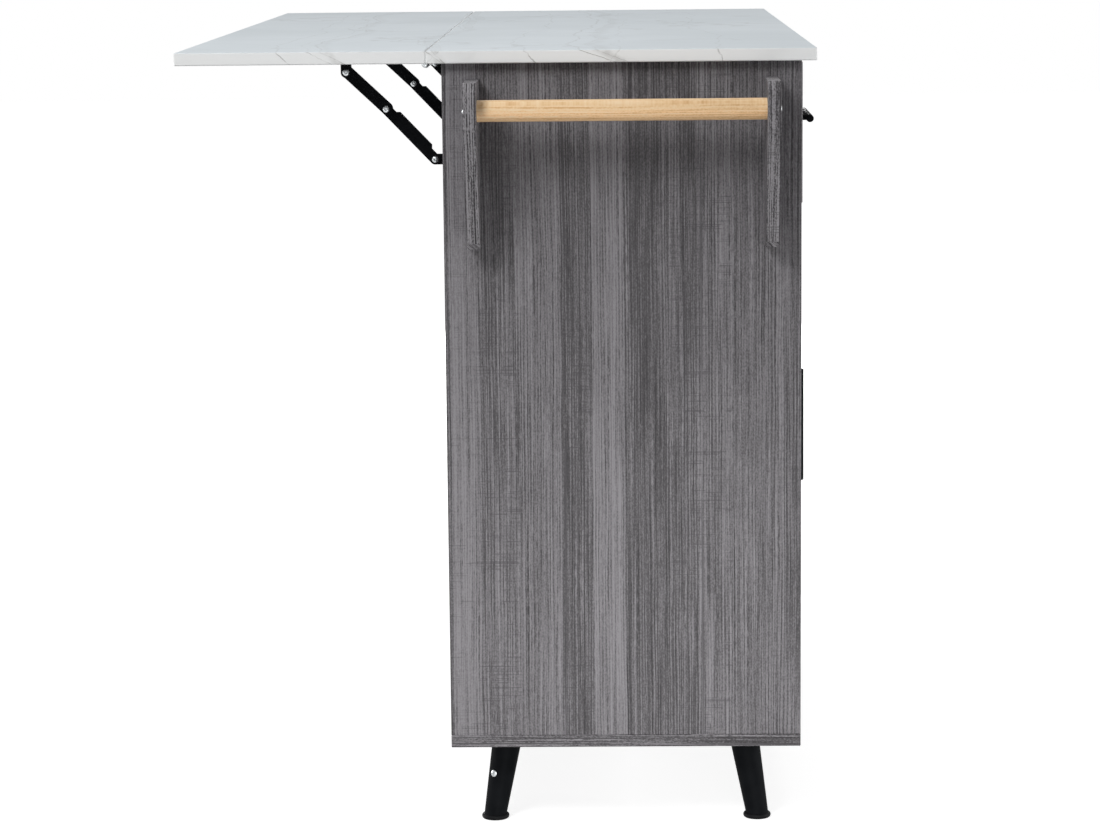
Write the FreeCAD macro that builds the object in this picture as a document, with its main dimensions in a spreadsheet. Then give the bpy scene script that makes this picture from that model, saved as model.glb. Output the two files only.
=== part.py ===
import FreeCAD, Part
import math
import os
import types

import Sketcher

# Kitchen island with a drop leaf, in millimetres, +Z up.
# The origin is on the floor under the middle of the cabinet. +X runs along the length, away from the
# towel rail, -Y is the front with the drawers and doors, and +Y is the side of the drop leaf.
SIZES = {
    # Worktop and drop leaf
    "top_height": 942,
    "top_length": 1340,
    "top_depth": 456,
    "top_thick": 15,
    "top_ease": 1,
    "leaf_depth": 294,
    "leaf_seam": 1,
    # Cabinet boards
    "top_overhang": 17,
    "end_overhang": 15,
    "board_thick": 15,
    "board_ease": 0.6,
    "leg_height": 102,
    "rail_depth": 60,
    "rail_setback": 25,
    "shelf_height": 303,
    "shelf_setback": 31,
    "shelf_gap": 1,
    "support_width": 18,
    "support_arm": 14,
    "support_wall": 2,
    "support_inset": 50,
    # Legs
    "leg_top_radius": 18.3,
    "leg_foot_radius": 13.8,
    "leg_top_inset": 66,
    "leg_foot_inset": 50.5,
    "leg_plate_size": 60,
    "leg_plate_thick": 3,
    "leg_plate_corner": 7,
    "centre_leg_radius": 18,
    "pad_radius": 16.8,
    "pad_height": 6,
    # Towel rail
    "towel_reach": 100,
    "towel_foot_reach": 40,
    "towel_foot_chamfer": 8,
    "towel_height": 197,
    "towel_drop": 19,
    "towel_chamfer": 10,
    "towel_straight": 52,
    "towel_inset": 29,
    "towel_out": 70,
    "towel_rail_drop": 33,
    "towel_rail_radius": 12.5,
    "rail_screw_radius": 2,
    "rail_screw_length": 42,
    "rail_screw_head": 4.5,
    "rail_screw_rise": 2.5,
    "rail_screw_fit": 0.1,
    # Drawers
    "front_gap": 3,
    "front_side_gap": 2,
    "drawer_proud": 2,
    "drawer_front_height": 166,
    "drawer_side_thick": 12,
    "drawer_side_height": 105,
    "drawer_back_room": 44,
    "drawer_box_rise": 14,
    "drawer_base_thick": 5,
    "runner_room": 12.5,
    "runner_height": 35,
    "runner_depth": 10.5,
    "runner_wall": 1.2,
    "runner_fit": 0.3,
    "runner_slide_depth": 8,
    "runner_setback": 2,
    "runner_end_room": 8,
    # Doors
    "door_recess": 7.5,
    "door_meet_gap": 3,
    "pivot_in": 10,
    "pivot_back": 5,
    "pivot_radius": 2,
    "pivot_fit": 0.05,
    "pivot_rise": 9,
    "pivot_depth": 9,
    "pivot_plate_length": 34,
    "pivot_plate_width": 16,
    "pivot_plate_thick": 1.5,
    "pivot_plate_edge": 4,
    "catch_gap": 0.3,
    "catch_length": 42,
    "catch_depth": 14,
    "catch_height": 11,
    # Bar pulls
    "pull_length": 144,
    "pull_radius": 4.75,
    "pull_reach": 28,
    "pull_centres": 96,
    "pull_post": 7,
    "pull_edge": 25.5,
    "pull_height": 326,
    # Hinges under the seam of the drop leaf
    "pin_out": 7,
    "pin_drop": 5.6,
    "pin_radius": 2,
    "pin_fit": 0.05,
    "seam_knuckle": 5.3,
    "seam_hinge_length": 60,
    "seam_middle_length": 25,
    "seam_hinge_wall": 1.5,
    "seam_hinge_flap": 16,
    "seam_hinge_gap": 0.4,
    "seam_hinge_spacing": 522,
    "seam_hinge_margin": 1,
    # Folding brackets of the drop leaf
    "bracket_spacing": 545,
    "leaf_pivot_out": 103.3,
    "leaf_pivot_drop": 15.6,
    "cabinet_pivot_out": 14.7,
    "cabinet_pivot_drop": 121.3,
    "knee_rise": 2,
    "arm_thick": 2,
    "arm_gap": 0.3,
    "upper_arm_width": 15,
    "upper_arm_shift": 1.3,
    "lower_arm_edge": 6.4,
    "lower_arm_flange": 9.5,
    "flange_knee_end": 14,
    "flange_pivot_end": 15,
    "flange_depth": 6,
    "flange_ramp": 3,
    "ear_width": 19,
    "ear_neck": 6.5,
    "ear_flare": 6,
    "mount_thick": 2,
    "mount_length": 21,
    "rivet_radius": 2.5,
    "rivet_fit": 0.05,
    "rivet_head": 4.25,
    "rivet_rise": 2.2,
    "rivet_clearance": 0.1,
    # How far a cutting tool runs past the face that it cuts
    "overrun": 1,
}


# Pins and heads are twelve-sided and their bores are round, which keeps the count of facets low
PIN_SIDES = 12


class Size:
    """A length that holds both its value and how it comes from the sheet's cells."""

    def __init__(self, value, text):
        self.value = value
        self.text = text

    def __add__(self, other):
        other = as_size(other)
        return Size(self.value + other.value, f"({self.text} + {other.text})")

    def __sub__(self, other):
        other = as_size(other)
        return Size(self.value - other.value, f"({self.text} - {other.text})")

    def __mul__(self, other):
        other = as_size(other)
        return Size(self.value * other.value, f"({self.text} * {other.text})")

    def __truediv__(self, other):
        other = as_size(other)
        return Size(self.value / other.value, f"({self.text} / {other.text})")

    def __neg__(self):
        return Size(-self.value, f"(-1 * {self.text})")


def as_size(thing):
    """A plain number is zero, a sign or a share."""
    return thing if isinstance(thing, Size) else Size(thing, str(thing))


def hypot(first, second):
    """The length across two sides that stand square to each other."""
    return Size(math.hypot(first.value, second.value), f"hypot({first.text}; {second.text})")


def direction(start, end):
    """The direction from one point to another in the plane of y and z, in degrees about x."""
    across = end[0] - start[0]
    rise = end[1] - start[1]
    turn = math.degrees(math.atan2(rise.value, across.value))
    return Size(turn, f"atan2({rise.text}; {across.text})")


def make_sheet(doc):
    """Put every driving size into a cell of its own, under its own name."""
    sheet = doc.addObject("Spreadsheet::Sheet", "Sizes")
    for row, (alias, value) in enumerate(SIZES.items(), start=1):
        sheet.set(f"A{row}", alias)
        sheet.set(f"B{row}", str(value))
        sheet.setAlias(f"B{row}", alias)
    doc.recompute()
    cells = {alias: Size(float(sheet.get(alias)), f"Sizes.{alias}") for alias in SIZES}
    return types.SimpleNamespace(**cells)


doc = FreeCAD.newDocument("kitchen_island")
s = make_sheet(doc)
ZERO = Size(0, "0")
NODES = {}
TURNS = {
    "x": FreeCAD.Rotation(FreeCAD.Vector(0, 1, 0), 90),
    "y": FreeCAD.Rotation(FreeCAD.Vector(1, 0, 0), -90),
    "z": FreeCAD.Rotation(),
    "-x": FreeCAD.Rotation(FreeCAD.Vector(0, 1, 0), -90),
    "-y": FreeCAD.Rotation(FreeCAD.Vector(1, 0, 0), 90),
    "-z": FreeCAD.Rotation(FreeCAD.Vector(1, 0, 0), 180),
}

# Places that several pieces share
under = s.top_height - s.top_thick
top_back = s.top_depth / 2
end_face = s.top_length / 2 - s.end_overhang
inner_face = end_face - s.board_thick
front = s.top_overhang - top_back
back = top_back - s.top_overhang
back_inner = back - s.board_thick
floor_top = s.leg_height + s.board_thick
panel_height = under - floor_top
panel_depth = back - front
half_board = s.board_thick / 2
bay_width = inner_face - half_board
bay_centre = (inner_face + half_board) / 2
drawer_face = front - s.drawer_proud
drawer_top = under - s.front_gap
drawer_foot = drawer_top - s.drawer_front_height
rail_top = drawer_foot - s.front_gap
rail_foot = rail_top - s.board_thick
door_face = front + s.door_recess
door_foot = floor_top + s.front_gap
door_height = rail_foot - s.front_gap - door_foot
door_width = (bay_width - s.front_side_gap * 2 - s.door_meet_gap) / 2
box_front = drawer_face + s.board_thick
box_depth = back_inner - s.drawer_back_room - box_front
pin_y = top_back + s.pin_out
pin_z = under - s.pin_drop


def bind(thing, prop, size):
    """Drive one property of a feature from the sheet."""
    thing.setExpression(prop, as_size(size).text)


def put(thing, at):
    """Drive a feature's place from the sheet."""
    for axis, size in zip("xyz", at):
        bind(thing, f"Placement.Base.{axis}", size)


def new_body(name):
    """Start one solid piece."""
    return doc.addObject("PartDesign::Body", name)


def box(body, size, at, cut=False):
    """Add a block with its lowest corner at a point, or cut it away."""
    block = body.newObject("PartDesign::SubtractiveBox" if cut else "PartDesign::AdditiveBox", "Block")
    for prop, length in zip(("Length", "Width", "Height"), size):
        bind(block, prop, length)
    put(block, at)
    return block


def cylinder(body, radius, length, at, along, cut=False):
    """Add a round bar that starts at a point and runs along an axis, or cut it away."""
    kind = "PartDesign::SubtractiveCylinder" if cut else "PartDesign::AdditiveCylinder"
    bar = body.newObject(kind, "Round")
    bar.Placement = FreeCAD.Placement(FreeCAD.Vector(), TURNS[along])
    bind(bar, "Radius", radius)
    bind(bar, "Height", length)
    put(bar, at)
    return bar


def pin(body, radius, length, at, along):
    """Add a pin, a shank or a head that starts at a point and runs along an axis."""
    bar = body.newObject("PartDesign::AdditivePrism", "Pin")
    bar.Placement = FreeCAD.Placement(FreeCAD.Vector(), TURNS[along])
    bar.Polygon = PIN_SIDES
    bind(bar, "Circumradius", radius)
    bind(bar, "Height", length)
    put(bar, at)


def ease(body, feature, size):
    """Break every edge of a plain piece by a small chamfer."""
    chamfer = body.newObject("PartDesign::Chamfer", "Ease")
    chamfer.Base = (feature, ["Edge1"])
    chamfer.UseAllEdges = True
    bind(chamfer, "Size", size)


def pad(body, plane, corners, start, thickness):
    """Draw a closed outline on a plane of the body and give it a thickness from a given start."""
    support = next(face for face in body.Origin.OriginFeatures if face.Role == plane)
    sketch = body.newObject("Sketcher::SketchObject", "Outline")
    sketch.AttachmentSupport = [(support, "")]
    sketch.MapMode = "FlatFace"
    bind(sketch, "AttachmentOffset.Base.z", start)
    points = [FreeCAD.Vector(as_size(u).value, as_size(v).value) for u, v in corners]
    for index, point in enumerate(points):
        sketch.addGeometry(Part.LineSegment(point, points[(index + 1) % len(points)]))
    for index in range(len(points)):
        sketch.addConstraint(Sketcher.Constraint("Coincident", index, 2, (index + 1) % len(points), 1))
    for index, corner in enumerate(corners):
        for kind, length in zip(("DistanceX", "DistanceY"), corner):
            length = as_size(length)
            number = sketch.addConstraint(Sketcher.Constraint(kind, -1, 1, index, 1, length.value))
            sketch.renameConstraint(number, f"{kind}{index}")
            bind(sketch, f"Constraints.{kind}{index}", length)
    block = body.newObject("PartDesign::Pad", "Pad")
    block.Profile = sketch
    bind(block, "Length", thickness)
    return block


def keep(name, pieces):
    """Name a finished node: one piece, or a group of like pieces."""
    if not isinstance(pieces, list):
        pieces.Label = name
        NODES[name] = pieces
        return
    group = doc.addObject("Part::Compound", name)
    group.Links = pieces
    group.Label = name
    NODES[name] = group


def board(name, size, at, edge=None):
    """A rectangular board, its edges lightly broken where they are in view."""
    body = new_body(name)
    block = box(body, size, (ZERO, ZERO, ZERO))
    if edge:
        ease(body, block, edge)
    put(body, at)
    return body


def worktop_and_leaf():
    """The fixed worktop and the leaf behind it, two slabs with a fine seam between them."""
    size = (s.top_length, s.top_depth, s.top_thick)
    keep("worktop", board("worktop", size, (-s.top_length / 2, -top_back, under), s.top_ease))
    size = (s.top_length, s.leaf_depth, s.top_thick)
    at = (-s.top_length / 2, top_back + s.leaf_seam, under)
    keep("drop_leaf", board("drop_leaf", size, at, s.top_ease))


def carcass():
    """The cabinet's outer boards, the partition between its two bays and the back."""
    size = (s.board_thick, panel_depth, panel_height)
    keep("end_panel_left", board("end_panel_left", size, (-end_face, front, floor_top), s.board_ease))
    keep("end_panel_right", board("end_panel_right", size, (inner_face, front, floor_top), s.board_ease))
    size = (end_face * 2, panel_depth, s.board_thick)
    keep("bottom_board", board("bottom_board", size, (-end_face, front, s.leg_height), s.board_ease))
    size = (inner_face * 2, s.board_thick, panel_height)
    keep("back_panel", board("back_panel", size, (-inner_face, back_inner, floor_top), s.board_ease))
    size = (s.board_thick, back_inner - front, panel_height)
    keep("middle_partition", board("middle_partition", size, (-half_board, front, floor_top), s.board_ease))


def rails():
    """In each bay a rail under the worktop and one between the drawer and the doors."""
    size = (bay_width, s.rail_depth, s.board_thick)
    top_rails = []
    middle_rails = []
    for left in (-inner_face, half_board):
        at = (left, front + s.rail_setback, under - s.board_thick)
        top_rails.append(board("top_rail", size, at))
        middle_rails.append(board("middle_rail", size, (left, door_face, rail_foot), s.board_ease))
    keep("top_rails", top_rails)
    keep("middle_rails", middle_rails)


def shelf_support(x, y, z, side):
    """A small angle under the shelf: one arm on the upright board, one under the shelf."""
    body = new_body("shelf_support")
    rise = s.support_arm
    upright_x = ZERO if side > 0 else -s.support_wall
    arm_x = ZERO if side > 0 else -s.support_arm
    box(body, (s.support_wall, s.support_width, rise), (upright_x, ZERO, -rise))
    box(body, (s.support_arm, s.support_width, s.support_wall), (arm_x, ZERO, -s.support_wall))
    put(body, (x, y, z))
    return body


def shelves():
    """One shelf behind each pair of doors, on four angle supports."""
    shelf_z = floor_top + s.shelf_height
    depth = back_inner - s.shelf_gap - front - s.shelf_setback
    size = (bay_width - s.shelf_gap * 2, depth, s.board_thick)
    pair = []
    supports = []
    for left in (-inner_face, half_board):
        at = (left + s.shelf_gap, front + s.shelf_setback, shelf_z)
        pair.append(board("shelf", size, at))
        for x, side in ((left, 1), (left + bay_width, -1)):
            near = front + s.shelf_setback + s.support_inset
            far = back_inner - s.support_inset - s.support_width
            supports += [shelf_support(x, y, shelf_z, side) for y in (near, far)]
    keep("shelves", pair)
    keep("shelf_supports", supports)


def towel_bracket(name, y):
    """A board on edge that carries the rail: square above, tapering back to the panel below."""
    body = new_body(name)
    straight_foot = s.towel_height - s.towel_straight
    corners = [
        (ZERO, ZERO),
        (ZERO, s.towel_height),
        (-(s.towel_reach - s.towel_chamfer), s.towel_height),
        (-s.towel_reach, s.towel_height - s.towel_chamfer),
        (-s.towel_reach, straight_foot),
        (-s.towel_foot_reach, s.towel_foot_chamfer),
        (-(s.towel_foot_reach - s.towel_foot_chamfer), ZERO),
    ]
    pad(body, "XZ_Plane", corners, -s.board_thick, s.board_thick)
    hole = s.rail_screw_radius + s.rail_screw_fit
    at = (-s.towel_out, -s.overrun, s.towel_height - s.towel_rail_drop)
    cylinder(body, hole, s.board_thick + s.overrun * 2, at, "y", cut=True)
    put(body, (-end_face, y, under - s.towel_drop - s.towel_height))
    keep(name, body)


def towel_rack():
    """Two brackets on the left end, a round wooden rail between them and its two screws."""
    half = panel_depth / 2 - s.towel_inset - s.board_thick
    towel_bracket("towel_bracket_back", half)
    towel_bracket("towel_bracket_front", -half - s.board_thick)
    rail_z = under - s.towel_drop - s.towel_rail_drop
    rail_x = -end_face - s.towel_out
    rail = new_body("towel_rail")
    cylinder(rail, s.towel_rail_radius, half * 2, (ZERO, -half, ZERO), "y")
    hole = s.rail_screw_radius + s.rail_screw_fit
    depth = s.rail_screw_length - s.board_thick + s.overrun
    cylinder(rail, hole, depth, (ZERO, half - depth, ZERO), "y", cut=True)
    cylinder(rail, hole, depth, (ZERO, -half, ZERO), "y", cut=True)
    put(rail, (rail_x, ZERO, rail_z))
    keep("towel_rail", rail)
    screws = []
    for y, inward, outward in ((half + s.board_thick, "-y", "y"), (-half - s.board_thick, "y", "-y")):
        screw = new_body("rail_screw")
        pin(screw, s.rail_screw_radius, s.rail_screw_length, (ZERO, ZERO, ZERO), inward)
        pin(screw, s.rail_screw_head, s.rail_screw_rise, (ZERO, ZERO, ZERO), outward)
        put(screw, (rail_x, y, rail_z))
        screws.append(screw)
    keep("towel_rail_screws", screws)


def foot_pad(x, y):
    """A round pad under a leg."""
    body = new_body("foot_pad")
    cylinder(body, s.pad_radius, s.pad_height, (x, y, ZERO), "z")
    return body


def leg_plate(x, y):
    """A square plate with cut corners between a leg and the bottom board."""
    body = new_body("leg_plate")
    half = s.leg_plate_size / 2
    cut = half - s.leg_plate_corner
    corners = [(-half, -cut), (-cut, -half), (cut, -half), (half, -cut)]
    corners += [(half, cut), (cut, half), (-cut, half), (-half, cut)]
    pad(body, "XY_Plane", corners, ZERO, s.leg_plate_thick)
    put(body, (x, y, s.leg_height - s.leg_plate_thick))
    return body


def leg(top, foot, top_radius, foot_radius):
    """A leg that runs from a circle under its plate to a circle on its pad."""
    circles = []
    for (x, y), z, radius in ((foot, s.pad_height, foot_radius),
                              (top, s.leg_height - s.leg_plate_thick, top_radius)):
        circle = doc.addObject("Part::Circle", "LegCircle")
        bind(circle, "Radius", radius)
        put(circle, (x, y, z))
        circles.append(circle)
    loft = doc.addObject("Part::Loft", "leg")
    loft.Sections = circles
    loft.Solid = True
    loft.Ruled = True
    return loft


def legs():
    """Four splayed legs, one upright leg under the partition, and their plates and pads."""
    middle = (ZERO, ZERO)
    keep("centre_leg", leg(middle, middle, s.centre_leg_radius, s.centre_leg_radius))
    pads = [foot_pad(*middle)]
    plates = [leg_plate(*middle)]
    for side, y_sign in (("front", -1), ("back", 1)):
        pair = []
        for x_sign in (-1, 1):
            top = ((end_face - s.leg_top_inset) * x_sign, (back - s.leg_top_inset) * y_sign)
            foot = ((end_face - s.leg_foot_inset) * x_sign, (back - s.leg_foot_inset) * y_sign)
            pair.append(leg(top, foot, s.leg_top_radius, s.leg_foot_radius))
            pads.append(foot_pad(*foot))
            plates.append(leg_plate(*top))
        keep(f"legs_{side}", pair)
    keep("foot_pads", pads)
    keep("leg_plates", plates)


def bar_pull(name, at, upright):
    """A round bar on two square posts. Its own frame has the mounting face at y = 0 and the bar along z."""
    body = new_body(name)
    stand = s.pull_reach - s.pull_radius
    cylinder(body, s.pull_radius, s.pull_length, (ZERO, -stand, -s.pull_length / 2), "z")
    half = s.pull_post / 2
    for z in (-s.pull_centres / 2, s.pull_centres / 2):
        box(body, (s.pull_post, stand, s.pull_post), (-half, -stand, z - half))
    if not upright:
        body.Placement = FreeCAD.Placement(FreeCAD.Vector(), TURNS["x"])
    put(body, at)
    keep(name, body)


def channel(x, y, side, height, depth, wall, length, z):
    """A channel of a drawer runner, its back against a board and its open side away from it."""
    body = new_body("runner")
    half = height / 2
    tip = depth * side
    skin = wall * side
    corners = [
        (ZERO, -half), (tip, -half), (tip, -half + wall), (skin, -half + wall),
        (skin, half - wall), (tip, half - wall), (tip, half), (ZERO, half),
    ]
    pad(body, "XZ_Plane", corners, -length, length)
    put(body, (x, y, z))
    return body


def drawer(bay, centre):
    """One drawer: its front, a box of boards behind it, a pull and the sliding half of its runners."""
    name = f"drawer_{bay}"
    thick = s.board_thick
    width = bay_width - s.front_side_gap * 2
    at = (centre - width / 2, drawer_face, drawer_foot)
    keep(f"{name}_front", board(f"{name}_front", (width, thick, s.drawer_front_height), at, s.board_ease))
    outer = bay_width - s.runner_room * 2
    left = centre - outer / 2
    base_z = drawer_foot + s.drawer_box_rise
    side_z = base_z + s.drawer_base_thick
    size = (outer, box_depth, s.drawer_base_thick)
    keep(f"{name}_base", board(f"{name}_base", size, (left, box_front, base_z)))
    size = (s.drawer_side_thick, box_depth, s.drawer_side_height)
    sides = [board("drawer_side", size, (x, box_front, side_z))
             for x in (left, left + outer - s.drawer_side_thick)]
    keep(f"{name}_sides", sides)
    inside = outer - s.drawer_side_thick * 2
    size = (inside, s.drawer_side_thick, s.drawer_side_height)
    rear_y = box_front + box_depth - s.drawer_side_thick
    keep(f"{name}_rear", board(f"{name}_rear", size, (left + s.drawer_side_thick, rear_y, side_z)))
    pull_at = (centre, drawer_face, drawer_foot + s.drawer_front_height / 2)
    bar_pull(f"{name}_pull", pull_at, upright=False)
    runner_z = side_z + s.drawer_side_height / 2
    runner_y = box_front + s.runner_setback
    runner_length = box_depth - s.runner_setback - s.runner_end_room
    slide_height = s.runner_height - s.runner_wall * 2 - s.runner_fit * 2
    slides = [channel(x, runner_y, side, slide_height, s.runner_slide_depth,
                      s.runner_wall, runner_length, runner_z)
              for x, side in ((left, -1), (left + outer, 1))]
    keep(f"{name}_slides", slides)
    return [channel(x, runner_y, side, s.runner_height, s.runner_depth,
                    s.runner_wall, runner_length, runner_z)
            for x, side in ((left - s.runner_room, 1), (left + outer + s.runner_room, -1))]


def drawers():
    """A drawer in each bay, and the fixed channels that carry them."""
    channels = drawer("left", -bay_centre)
    channels += drawer("right", bay_centre)
    keep("drawer_channels", channels)


def pivot_plate(x, z, side, up):
    """A small plate with a pivot pin for a door: under the rail, or on the bottom board."""
    body = new_body("pivot_plate")
    length = s.pivot_plate_length
    thick = s.pivot_plate_thick
    left = -s.pivot_plate_edge if side > 0 else s.pivot_plate_edge - length
    plate_z = ZERO if up else -thick
    box(body, (length, s.pivot_plate_width, thick), (left, -s.pivot_plate_edge, plate_z))
    pin(body, s.pivot_radius, s.pivot_rise, (ZERO, ZERO, ZERO), "z" if up else "-z")
    put(body, (x, door_face + s.pivot_back, z))
    return body


def door(name, hinge_face, side):
    """One inset door that turns on two pivots near the board at hinge_face; side is its reach."""
    near = hinge_face + s.front_side_gap * side
    left = near if side > 0 else near - door_width
    pivot_x = near + s.pivot_in * side
    size = (door_width, s.board_thick, door_height)
    panel = board(f"{name}_panel", size, (left, door_face, door_foot), s.board_ease)
    hole = s.pivot_radius + s.pivot_fit
    bore_x = pivot_x - left
    for z in (-s.overrun, door_height - s.pivot_depth):
        cylinder(panel, hole, s.pivot_depth + s.overrun, (bore_x, s.pivot_back, z), "z", cut=True)
    keep(f"{name}_panel", panel)
    pull_x = near + (door_width - s.pull_edge) * side
    bar_pull(f"{name}_pull", (pull_x, door_face, door_foot + s.pull_height), upright=True)
    return [pivot_plate(pivot_x, floor_top, side, up=True), pivot_plate(pivot_x, rail_foot, side, up=False)]


def doors():
    """Four doors, a pair in each bay, with the plates that they turn on and the catches."""
    plates = door("door_left_outer", -inner_face, 1)
    plates += door("door_left_inner", -half_board, -1)
    plates += door("door_right_inner", half_board, 1)
    plates += door("door_right_outer", inner_face, -1)
    keep("door_pivot_plates", plates)
    size = (s.catch_length, s.catch_depth, s.catch_height)
    behind = door_face + s.board_thick + s.catch_gap
    catches = [board("door_catch", size, (x - s.catch_length / 2, behind, rail_foot - s.catch_height))
               for x in (-bay_centre, bay_centre)]
    keep("door_catches", catches)


def seam_hinge_fixed(x):
    """The worktop's half of a seam hinge: a flap, two outer knuckles and the pin staked between them."""
    body = new_body("seam_hinge_fixed")
    length = s.seam_hinge_length
    outer = (length - s.seam_middle_length) / 2 - s.seam_hinge_gap
    near = s.seam_knuckle + s.seam_hinge_gap
    reach = near + s.seam_hinge_margin
    wall = s.seam_hinge_wall
    box(body, (length, s.seam_hinge_flap, wall), (-length / 2, -near - s.seam_hinge_flap, s.pin_drop - wall))
    for start in (-length / 2, length / 2 - outer):
        box(body, (outer, reach, wall), (start, -reach, s.seam_knuckle - wall))
        cylinder(body, s.seam_knuckle, outer, (start, ZERO, ZERO), "x")
    pin(body, s.pin_radius, length - outer * 2, (outer - length / 2, ZERO, ZERO), "x")
    put(body, (x, pin_y, pin_z))
    return body


def seam_hinge_leaf(x):
    """The leaf's half of a seam hinge: a flap and the middle knuckle, bored for the pin."""
    body = new_body("seam_hinge_leaf")
    length = s.seam_hinge_length
    middle = s.seam_middle_length
    near = s.seam_knuckle + s.seam_hinge_gap + s.seam_hinge_margin
    wall = s.seam_hinge_wall
    box(body, (length, s.seam_hinge_flap, wall), (-length / 2, near, s.pin_drop - wall))
    box(body, (middle, near + s.seam_hinge_margin, wall), (-middle / 2, ZERO, s.seam_knuckle - wall))
    cylinder(body, s.seam_knuckle, middle, (-middle / 2, ZERO, ZERO), "x")
    bore = s.pin_radius + s.pin_fit
    cylinder(body, bore, middle + s.overrun * 2, (-middle / 2 - s.overrun, ZERO, ZERO), "x", cut=True)
    put(body, (x, pin_y, pin_z))
    return body


def seam_hinges():
    """Three hinges under the seam between the worktop and the leaf."""
    places = (-s.seam_hinge_spacing, ZERO, s.seam_hinge_spacing)
    keep("seam_hinge_fixed_halves", [seam_hinge_fixed(x) for x in places])
    keep("seam_hinge_leaf_halves", [seam_hinge_leaf(x) for x in places])


def bracket_linkage():
    """The pivots, the knee and the arms' lengths, the same distance off the line open and folded."""
    upper = (top_back + s.leaf_pivot_out, under - s.leaf_pivot_drop)
    lower = (back + s.cabinet_pivot_out, under - s.cabinet_pivot_drop)
    folded = (pin_y + upper[1] - pin_z, pin_z - upper[0] + pin_y)
    across = lower[0] - upper[0]
    drop = lower[1] - upper[1]
    span = hypot(across, drop)
    fold_span = hypot(folded[0] - lower[0], folded[1] - lower[1])
    run = (span - fold_span) / 2
    knee = (upper[0] + across * run / span + drop * s.knee_rise / span,
            upper[1] + drop * run / span - across * s.knee_rise / span)
    link = types.SimpleNamespace(upper=upper, lower=lower, folded=folded, knee=knee)
    link.upper_length = hypot(run, s.knee_rise)
    link.lower_length = hypot(span - run, s.knee_rise)
    return link


def print_turns(link):
    """Print the pivots and how far the arms turn while the leaf folds by a quarter turn."""
    start = [size.value for size in link.folded]
    end = [size.value for size in link.lower]
    span = math.dist(start, end)
    first = link.upper_length.value
    along = (first ** 2 - link.lower_length.value ** 2 + span ** 2) / (2 * span)
    rise = math.sqrt(first ** 2 - along ** 2)
    unit = [(there - here) / span for here, there in zip(start, end)]
    knee = (start[0] + unit[0] * along + unit[1] * rise, start[1] + unit[1] * along - unit[0] * rise)
    upper_now = math.degrees(math.atan2(knee[1] - start[1], knee[0] - start[0]))
    lower_now = math.degrees(math.atan2(knee[1] - end[1], knee[0] - end[0]))
    upper_turn = (upper_now + 90 - direction(link.upper, link.knee).value + 180) % 360 - 180
    lower_turn = lower_now - direction(link.lower, link.knee).value
    print("leaf pin at y, z", pin_y.value, pin_z.value)
    print("leaf pivot", [size.value for size in link.upper], "cabinet pivot", end)
    print("knee open", [round(size.value, 3) for size in link.knee], "knee folded", knee)
    print("upper arm turns about x on the leaf", upper_turn, "lower arm on the cabinet", lower_turn)


def rivet(head_x, tail_x, place):
    """A rivet along x, with its set head towards -x and its tail flush."""
    body = new_body("rivet")
    pin(body, s.rivet_radius, tail_x - head_x, (head_x, ZERO, ZERO), "x")
    pin(body, s.rivet_head, s.rivet_rise, (head_x, ZERO, ZERO), "-x")
    put(body, (ZERO, *place))
    return body


def rivet_hole(body, y):
    """A hole for a rivet, through a plate that lies at x = 0."""
    length = s.mount_thick + s.overrun * 2
    cylinder(body, s.rivet_radius + s.rivet_fit, length, (-s.overrun, y, ZERO), "x", cut=True)


def turn_and_put(body, angle, at):
    """Turn a piece about x by an angle of the sheet and set its pivot in place."""
    turned = FreeCAD.Rotation(FreeCAD.Vector(1, 0, 0), as_size(angle).value)
    body.Placement = FreeCAD.Placement(FreeCAD.Vector(), turned)
    bind(body, "Placement.Rotation.Angle", angle)
    put(body, at)


def upper_arm(x, link):
    """The flat arm on the leaf: a straight strip with round ends, a little off its pivots' line."""
    body = new_body("upper_arm")
    length = link.upper_length
    half = s.upper_arm_width / 2
    middle = -s.upper_arm_shift
    box(body, (s.arm_thick, length, s.upper_arm_width), (ZERO, ZERO, middle - half))
    for y in (ZERO, length):
        cylinder(body, half, s.arm_thick, (ZERO, y, middle), "x")
    for y in (ZERO, length):
        rivet_hole(body, y)
    turn_and_put(body, direction(link.upper, link.knee), (x, *link.upper))
    return body


def lower_arm(x, link):
    """The flat arm on the cabinet, with a flange folded up along the middle of its inner edge."""
    body = new_body("lower_arm")
    length = link.lower_length
    edge = s.lower_arm_edge
    rise = s.lower_arm_flange
    start = s.flange_pivot_end
    end = length - s.flange_knee_end
    corners = [
        (ZERO, -edge), (length, -edge), (length, edge), (end + s.flange_ramp, edge),
        (end, rise), (start, rise), (start - s.flange_ramp, edge), (ZERO, edge),
    ]
    pad(body, "YZ_Plane", corners, ZERO, s.arm_thick)
    for y in (ZERO, length):
        cylinder(body, edge, s.arm_thick, (ZERO, y, ZERO), "x")
    box(body, (s.flange_depth, end - start, s.arm_thick), (ZERO, start, rise - s.arm_thick))
    rivet_hole(body, ZERO)
    turn_and_put(body, direction(link.lower, link.knee), (x, *link.lower))
    return body


def mount(at, stand, side, turn):
    """An angle bracket: an ear with a pivot hole, and a plate to one side of it on the board."""
    body = new_body("mount")
    half = s.ear_width / 2
    neck = s.ear_neck
    foot = stand - s.ear_flare
    corners = [(-neck, ZERO), (-neck, foot), (-half, stand), (half, stand), (neck, foot), (neck, ZERO)]
    pad(body, "YZ_Plane", corners, ZERO, s.mount_thick)
    cylinder(body, neck, s.mount_thick, (ZERO, ZERO, ZERO), "x")
    left = s.mount_thick - s.mount_length if side < 0 else ZERO
    plate_z = stand - s.mount_thick
    box(body, (s.mount_length, s.ear_width, s.mount_thick), (left, -half, plate_z))
    rivet_hole(body, ZERO)
    turn_and_put(body, turn, at)
    return body


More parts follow.
